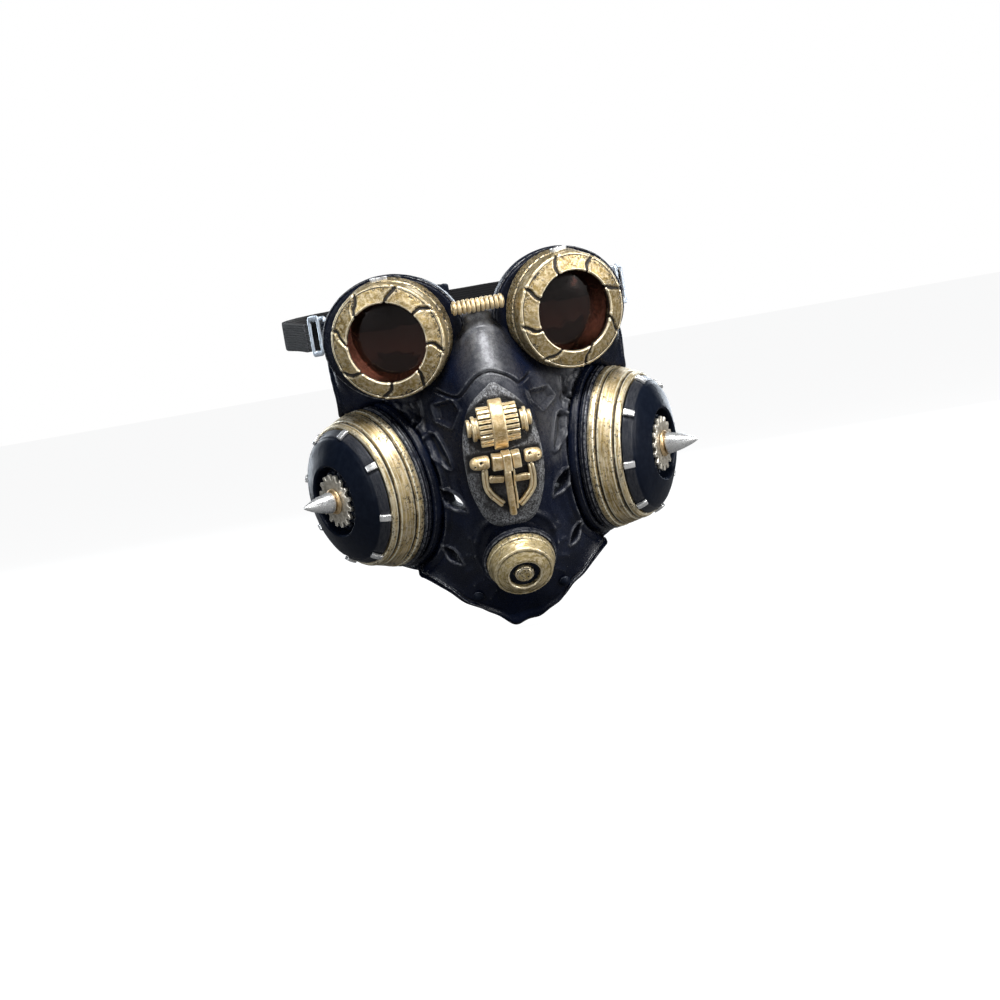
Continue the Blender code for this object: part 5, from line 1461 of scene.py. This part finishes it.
def sweep(name, pts, normals, widths, heights, power=2.6, n=20, closed=False, crest=None):
    """Strip of rounded section along pts; widths lie across the path, heights along the given normals."""
    pts = np.asarray(pts, float)
    if closed:
        t = np.roll(pts, -1, 0) - np.roll(pts, 1, 0)
    else:
        t = np.gradient(pts, axis=0)
    t /= np.linalg.norm(t, axis=1, keepdims=True)
    nrm = np.asarray(normals, float) * np.ones_like(pts)
    nrm = nrm - (nrm * t).sum(1, keepdims=True) * t
    nrm /= np.linalg.norm(nrm, axis=1, keepdims=True)
    side = np.cross(t, nrm)
    a = np.arange(n) * 2 * math.pi / n
    c, q = np.cos(a), np.sin(a)
    cx = np.sign(c) * np.abs(c) ** (2 / power)
    cy = np.sign(q) * np.abs(q) ** (2 / power)
    if crest is not None:
        cy = crest(cx, cy)
    w = np.asarray(widths, float) * np.ones(len(pts)) / 2
    hh = np.asarray(heights, float) * np.ones(len(pts)) / 2
    ring = pts[:, None] + side[:, None] * (cx[None, :, None] * w[:, None, None]) + nrm[:, None] * (cy[None, :, None] * hh[:, None, None])
    rows = len(pts)
    s = np.concatenate([[0], np.cumsum(np.linalg.norm(np.diff(pts, axis=0), axis=1))])
    loc = np.stack([np.repeat(s, n), np.tile(cx, rows) * np.repeat(w, n), np.tile(cy, rows) * np.repeat(hh, n)], 1)
    verts = ring.reshape(-1, 3)
    faces = grid_faces(rows, n, wrap_r=closed, wrap_c=True)
    if not closed:
        verts = np.vstack([verts, pts[:1], pts[-1:]])
        loc = np.vstack([loc, [[0, 0, 0]], [[s[-1], 0, 0]]])
        k = rows * n
        faces += [[k, (j + 1) % n, j] for j in range(n)] + [[k + 1, (rows - 1) * n + j, (rows - 1) * n + (j + 1) % n] for j in range(n)]
    ob = mesh_of(name, verts, faces)
    outward(ob)
    put_vector(ob, "loc", loc)
    put_float(ob, "mark", np.zeros(len(verts)))
    return ob


def plaque_normal(x, z):
    e = 0.4
    a = on_plaque(x, z + e) - on_plaque(x, z - e)
    b = on_plaque(x + e, z) - on_plaque(x - e, z)
    n = np.cross(b, a)
    return n / np.linalg.norm(n)


def relief_strip(name, xz, width, height, lift, per=8, power=2.6, ends=True, **kw):
    path = curve_through([vec(*p) for p in xz], per)
    nrm = np.array([plaque_normal(x, z) for x, z in path])
    pts = np.array([on_plaque(x, z, 0.0) for x, z in path]) + nrm * lift
    w = np.full(len(pts), float(width))
    hh = np.full(len(pts), float(height))
    if ends:
        for k, g in ((0, 0.72), (1, 0.93)):
            w[k] *= g
            w[-1 - k] *= g
            hh[k] *= g
            hh[-1 - k] *= g
    return sweep(name, pts, nrm, w, hh, power, **kw)


ARM_L = [(-10.0, -60.2), (-10.2, -64.1), (-9.9, -67.6), (-8.4, -70.5), (-6.2, -73.1), (-3.9, -75.4)]
ARM_R = [(9.2, -60.4), (9.6, -65.0), (9.2, -69.2), (7.6, -72.0), (5.3, -74.5), (2.9, -76.6)]


def beside(xz, d):
    a = np.asarray(xz, float)
    t = np.gradient(a, axis=0)
    t /= np.linalg.norm(t, axis=1, keepdims=True)
    return [tuple(q) for q in a + np.stack([-t[:, 1], t[:, 0]], 1) * d]


arms = []
for arm, sign in ((ARM_L, -1.0), (ARM_R, 1.0)):
    arms.append(relief_strip("u1", beside(arm, sign * 0.62), 1.5, 2.6, 0.9))
    arms.append(relief_strip("u2", beside(arm, -sign * 0.72), 1.3, 2.0, 0.8))
mech(arms, "bail_double_ridged", "antique_brass", "bail", seed=113, amp=0.14)
mech([relief_strip("xb1", [(-8.6, -64.1), (-5.5, -64.5), (-2.6, -64.9)], 3.1, 2.2, 1.0, 6, 3.2), relief_strip("xb2", [(1.9, -65.3), (5.0, -65.3), (8.2, -65.3)], 3.1, 2.2, 1.0, 6, 3.2),
      relief_strip("xb3", [(1.95, -61.4), (1.75, -68.0), (1.95, -73.0), (1.8, -78.2)], 1.0, 1.7, 0.7, 8)], "bail_crossbar_cast", "antique_brass", "bail_crossbar", seed=117, amp=0.12)
mech([relief_strip("tongue", [(-0.95, -60.6), (-0.85, -66.0), (-0.7, -71.0), (-0.5, -75.5), (-0.4, -79.2)], 3.0, 3.6, 2.9, 8, 3.4)], "clasp_tongue_cast", "antique_brass", "clasp_tongue", seed=119, amp=0.10)


# =============================================================================
# strap: hardware and woven elastic
# =============================================================================
LOOP_AXIS = vec(62.6, -53.5, 7.6)
LOOP_L, LOOP_H = 9.4, 16.5
HEAD_PTS = [(73.0, -2.0, 8.8), (76.0, 24.0, 9.8), (74.0, 50.0, 10.8), (64.0, 76.0, 11.8), (47.0, 94.0, 12.4), (32.0, 100.4, 12.6), (26.0, 101.0, 12.7)]


def flip(p, s):
    q = np.array(p, float)
    q[..., 0] *= s
    return q


def resample(path, step):
    path = np.asarray(path, float)
    s = np.concatenate([[0], np.cumsum(np.linalg.norm(np.diff(path, axis=0), axis=1))])
    n = max(2, int(round(s[-1] / step)))
    t = np.linspace(0, s[-1], n + 1)
    return np.stack([np.interp(t, s, path[:, k]) for k in range(3)], 1)


def ribbon(name, path, width, thick, step=0.8, n=36, taper=True, edge_wave=0.0):
    """Upright strip: width along Z, thickness across."""
    pts = resample(path, step)
    t = np.gradient(pts, axis=0)
    t /= np.linalg.norm(t, axis=1, keepdims=True)
    nrm = np.cross(vec(0, 0, 1), t)
    nrm /= np.linalg.norm(nrm, axis=1, keepdims=True)
    w = np.full(len(pts), float(width))
    if edge_wave:
        w = w + edge_wave * np.sin(np.arange(len(pts)) * step * 2 * math.pi / 2.1)
    return sweep(name, pts, nrm, w, np.full(len(pts), float(thick)), 5.0, n)


for s in (1, -1):
    tag = NAME[s]
    body = f"loop_{tag}"
    head = vec(math.cos(math.radians(68)), math.sin(math.radians(68)), 0)
    tail = vec(math.cos(math.radians(80)), math.sin(math.radians(80)), 0)
    out = vec(head[1], -head[0], 0)                                # away from the head
    # wire loop: a rounded rectangle of flattened wire
    h, l, r = LOOP_H / 2 - 0.95, LOOP_L, 1.3
    ring = []
    for cx, cz, a0 in ((l - r, h - r, 0), (r, h - r, 90), (r, -h + r, 180), (l - r, -h + r, 270)):
        for k in range(7):
            a = math.radians(a0 + 15 * k)
            ring.append((cx + r * math.cos(a), cz + r * math.sin(a)))
    ring = np.array(ring)
    dense = []
    for k in range(len(ring)):
        a, b = ring[k], ring[(k + 1) % len(ring)]
        m = max(1, int(np.linalg.norm(b - a) / 0.7))
        dense += [a + (b - a) * j / m for j in range(m)]
    dense = np.array(dense)
    p3 = LOOP_AXIS + dense[:, :1] * head + dense[:, 1:] * vec(0, 0, 1)
    pins = sweep("pins", flip(p3, s), flip(out, s), 1.7, 1.7, 2.0, 14, closed=True)
    face_c = LOOP_AXIS + head * (l / 2)
    face = []
    for q in dense:
        d = q - np.array([l / 2, 0.0])
        face.append(face_c + head * d[0] * 0.93 + vec(0, 0, 1) * d[1] * 1.07 + out * 3.15)
    plate_ob = sweep("face", flip(np.array(face), s), flip(out, s), 2.1, 1.0, 3.0, 16, closed=True)
    posts = []
    for zz in (h - 0.2, -h + 0.2):
        q = face_c + vec(0, 0, 1) * zz
        posts.append(block("post", (5.0, 1.5, 2.6), axes(flip(q + out * 1.3, s), flip(head, s), vec(0, 0, 1), flip(out, s)), 0.4, 2, 2))
    ob = joined(f"strap_loop_framed_{tag}", [pins, plate_ob] + posts)
    wobble(ob, 0.04, 3.0, 121)
    settle(ob, STEEL, body, "steel", f"strap_loop_{tag}")

    # rubber tab folded round the loop's front bar: out, round the bar and back to the housing
    wrap = []
    for k in range(13):
        a = math.radians(-90 + 15 * k)
        wrap.append(LOOP_AXIS + head * (1.60 * math.cos(a)) + out * (1.60 * math.sin(a)))
    inner = [LOOP_AXIS - head * d - out * g for d, g in ((8.6, 0.56), (6.0, 0.6), (3.4, 0.9), (1.6, 1.38))]
    outer = [LOOP_AXIS - head * d + out * g for d, g in ((1.6, 1.38), (3.4, 0.9), (6.0, 0.6), (8.6, 0.56))]
    path = np.array(inner + wrap + outer)
    ob = ribbon("tab", flip(path, s), 11.4, 1.0, 0.45, 28)
    rivet = lathe("rv", [(0.0, 0.9), (0.9, 0.8), (1.5, 0.35), (1.6, 0.0), (1.3, -1.8), (0.0, -1.8)], axes(flip(LOOP_AXIS - head * 5.2 + out * 1.2, s), flip(head, s), vec(0, 0, 1), flip(out, s)), seg=32, closed=False, rad=0.2, step=0.4)
    ob = joined(f"strap_tab_folded_{tag}", [ob, rivet])
    wobble(ob, 0.06, 3.0, 123)
    settle(ob, RUBBER_RIM, "mask", "black_rubber", f"strap_tab_{tag}")

    # elastic: one length that turns round the loop's rear bar, is sewn to itself and runs
    # round the back of the head into the adjuster
    bar_p = LOOP_AXIS + head * LOOP_L
    tout = vec(tail[1], -tail[0], 0)
    turn = []
    for k in range(15):
        a = math.radians(-90 - 12.857 * k)
        turn.append(bar_p + tail * (1.75 * math.cos(a)) + tout * (1.75 * math.sin(a)))
    fold = [bar_p + tail * d - tout * g for d, g in ((18.6, 0.66), (14.0, 0.66), (9.0, 0.66), (5.0, 0.85), (2.4, 1.45), (1.0, 1.72))]
    lead = [bar_p + tail * d + tout * g for d, g in ((1.0, 1.72), (2.4, 1.45), (5.0, 0.85), (9.0, 0.66), (14.0, 0.62), (19.1, 0.30), (23.0, 0.1))]
    run = curve_through([lead[-1]] + [vec(*p) for p in HEAD_PTS], 10)[1:]
    stop = vec(0.0, 101.0, 12.7)
    path = np.vstack([fold, turn, lead, run, [stop]])
    ob = ribbon(f"head_strap_elastic_{tag}", flip(path, s), 12.5, 1.15, 0.9, 30, edge_wave=0.05)
    wobble(ob, 0.05, 5.0, 127)
    tag_curvature(ob)
    ob.data.materials.clear()
    ob.data.materials.append(ELASTIC)
    ob.data.shade_smooth()
    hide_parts(f"strap_tail_{tag}", "head_strap")
    tuple(flip(bar_p + tail * 20.0, s) * MM)
    tuple(flip((75.0, 30.0, 9.8), s) * MM)
    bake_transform(ob)

    # two rows of stitches through the doubled end
    bits = []
    for d in (4.2, 16.2):
        for k in range(6):
            zc = -5.0 + 2.0 * k
            for side_q, g in ((1, 1.32), (-1, 1.32)):
                a = bar_p + tail * d + tout * (side_q * g) + vec(0, 0, zc - 0.62)
                b = bar_p + tail * (d + 0.25) + tout * (side_q * g) + vec(0, 0, zc + 0.62)
                pts = np.array([a - tout * side_q * 0.35, a + (b - a) * 0.15, (a + b) / 2 + tout * side_q * 0.06, b + (a - b) * 0.15, b - tout * side_q * 0.35])
                bits.append(sweep("st", flip(curve_through(list(pts), 3), s), flip(tout, s), 0.42, 0.42, 2.0, 8))
    ob = joined(f"strap_stitches_{tag}", bits)
    settle(ob, THREAD, body, "elastic", sharp=None)

# adjuster: a moulded sleeve with grip ridges, open at both ends for the strap
def rounded_rect(hx, hy, r, n=96):
    a = np.arange(n) * 2 * math.pi / n
    c, q = np.cos(a), np.sin(a)
    pts = []
    for cc, qq in zip(c, q):
        px, py = (hx - r) * np.sign(cc) * min(1, abs(cc) * 1.7), (hy - r) * np.sign(qq) * min(1, abs(qq) * 1.7)
        pts.append((px + r * cc, py + r * qq))
    return np.array(pts)


def build_slider():
    n = 96
    o, i = rounded_rect(2.45, 9.6, 1.2, n), rounded_rect(1.1, 6.9, 0.5, n)
    xs = np.linspace(-6.5, 6.5, 40)
    rows = []
    for x in xs:
        edge = 6.5 - abs(x)
        tuck = 0.55 * (1 - smoothstep(edge, 0, 0.8))
        ridge = 0.22 * (0.5 + 0.5 * np.cos(2 * math.pi * x / 2.2)) * smoothstep(edge, 0.9, 1.5)
        d = o / np.linalg.norm(o, axis=1, keepdims=True)
        q = o - d * tuck - d * (0.22 - ridge)[..., None] if np.ndim(ridge) else o - d * (tuck + 0.22 - ridge)
        rows.append(np.column_stack([np.full(n, x), q]))
    for x in xs[::-1][::6]:
        edge = 6.5 - abs(x)
        flare = 0.35 * (1 - smoothstep(edge, 0, 0.9))
        d = i / np.linalg.norm(i, axis=1, keepdims=True)
        rows.append(np.column_stack([np.full(n, x * 0.985), i + d * flare]))
    local = np.vstack(rows)
    f = axes((0, 101.0, 12.7), (1, 0, 0), (0, 1, 0), (0, 0, 1))
    ob = mesh_of("strap_slider_moulded", f.out(local), grid_faces(len(rows), n, wrap_r=True, wrap_c=True))
    outward(ob)
    put_vector(ob, "loc", local)
    put_float(ob, "mark", np.zeros(len(local)))
    settle(ob, CAP_PAINT, "slider", "dark_paint", "strap_slider")


build_slider()


# =============================================================================
# studio
# =============================================================================
def stage_material(name, colour, rough):
    m = Mat(name)
    t = m.noise(m.obj((0.01, 0.01, 0.01)), 1.0, 3.0)
    m.set(Base_Color=m.mix(m.step(t, 0.3, 0.7), tuple(c * 0.985 for c in colour), colour), Roughness=rough, Specular_IOR_Level=0.1)
    seen = m.t.nodes.new("ShaderNodeLightPath").outputs["Is Camera Ray"]
    m.set(Emission_Color=(1.0, 1.0, 1.0), Emission_Strength=m.mul(seen, 0.93))
    return m.m


FLOOR_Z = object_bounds()[0][2] - 0.0005
me = bpy.data.meshes.new("floor")
bm = bmesh.new()
bmesh.ops.create_grid(bm, x_segments=24, y_segments=24, size=14.0)
bm.to_mesh(me)
bm.free()
floor = bpy.data.objects.new("floor", me)
bpy.context.scene.collection.objects.link(floor)
floor.location = (0, 0, FLOOR_Z)
floor.data.materials.append(stage_material("floor_pale", (0.14, 0.14, 0.14), 0.85))

world = bpy.data.worlds.new("studio")
bpy.context.scene.world = world
world.use_nodes = True
wt = world.node_tree
wt.nodes.clear()
w_out = wt.nodes.new("ShaderNodeOutputWorld")
w_mix = wt.nodes.new("ShaderNodeMixShader")
w_path = wt.nodes.new("ShaderNodeLightPath")
w_light = wt.nodes.new("ShaderNodeBackground")
w_seen = wt.nodes.new("ShaderNodeBackground")
w_light.inputs["Color"].default_value = (0.80, 0.88, 1.0, 1.0)
w_light.inputs["Strength"].default_value = 0.09
w_seen.inputs["Color"].default_value = (1.0, 1.0, 1.0, 1.0)
w_seen.inputs["Strength"].default_value = 1.0
wt.links.new(w_path.outputs["Is Camera Ray"], w_mix.inputs[0])
wt.links.new(w_light.outputs[0], w_mix.inputs[1])
wt.links.new(w_seen.outputs[0], w_mix.inputs[2])
wt.links.new(w_mix.outputs[0], w_out.inputs[0])


def softbox(name, frm, at, size, power, colour=(1, 1, 1)):
    data = bpy.data.lights.new(name, "AREA")
    data.shape = "RECTANGLE"
    data.size, data.size_y = size
    data.energy = power
    data.color = colour
    ob = bpy.data.objects.new(name, data)
    bpy.context.scene.collection.objects.link(ob)
    ob.location = frm
    ob.rotation_euler = (Vector(at) - Vector(frm)).to_track_quat("-Z", "Y").to_euler()
    return ob


AIM = (0.0, -0.07, -0.05)
softbox("key_overhead", (0.12, -0.86, 1.22), AIM, (0.50, 0.34), 32, (1.0, 0.99, 0.97))
softbox("side_right", (1.34, -0.85, 0.22), AIM, (0.34, 0.9), 21, (1.0, 0.98, 0.95))
softbox("side_left", (-1.16, -1.06, 0.25), AIM, (0.28, 0.8), 7, (0.95, 0.98, 1.0))
softbox("front_fill", (0.26, -1.86, 0.16), AIM, (0.42, 0.42), 3, (1.0, 0.99, 0.97))
softbox("back_left", (-0.72, 1.35, 0.40), AIM, (0.35, 1.0), 11, (0.85, 0.92, 1.0))
softbox("back_right", (0.72, 1.35, 0.35), AIM, (0.35, 1.0), 11, (0.85, 0.92, 1.0))
# camera: the head is turned a little and leans, so the camera is rolled to match
cam = bpy.data.cameras.new("camera")
cam.lens = 162.0
cam.sensor_width = 36.0
cam.clip_start, cam.clip_end = 0.05, 60.0
cam_ob = bpy.data.objects.new("camera", cam)
bpy.context.scene.collection.objects.link(cam_ob)
back = Vector((-0.09091, -0.99586, 0.0))
fwd, right_v, up_v = -back, Vector((0.99586, -0.09091, 0.0)), Vector((0, 0, 1))
r2 = 0.98519 * right_v - 0.17148 * up_v
u2 = 0.17148 * right_v + 0.98519 * up_v
look = (fwd + (38.68 / 4500) * r2 - (171.15 / 4500) * u2).normalized()
up_c = (u2 - look * u2.dot(look)).normalized()
right_c = look.cross(up_c)
pos = back * 2.0
cam_ob.matrix_world = Matrix(((right_c.x, up_c.x, -look.x, pos.x), (right_c.y, up_c.y, -look.y, pos.y), (right_c.z, up_c.z, -look.z, pos.z), (0, 0, 0, 1)))
bpy.context.scene.camera = cam_ob
bpy.context.scene.view_settings.view_transform = "Standard"
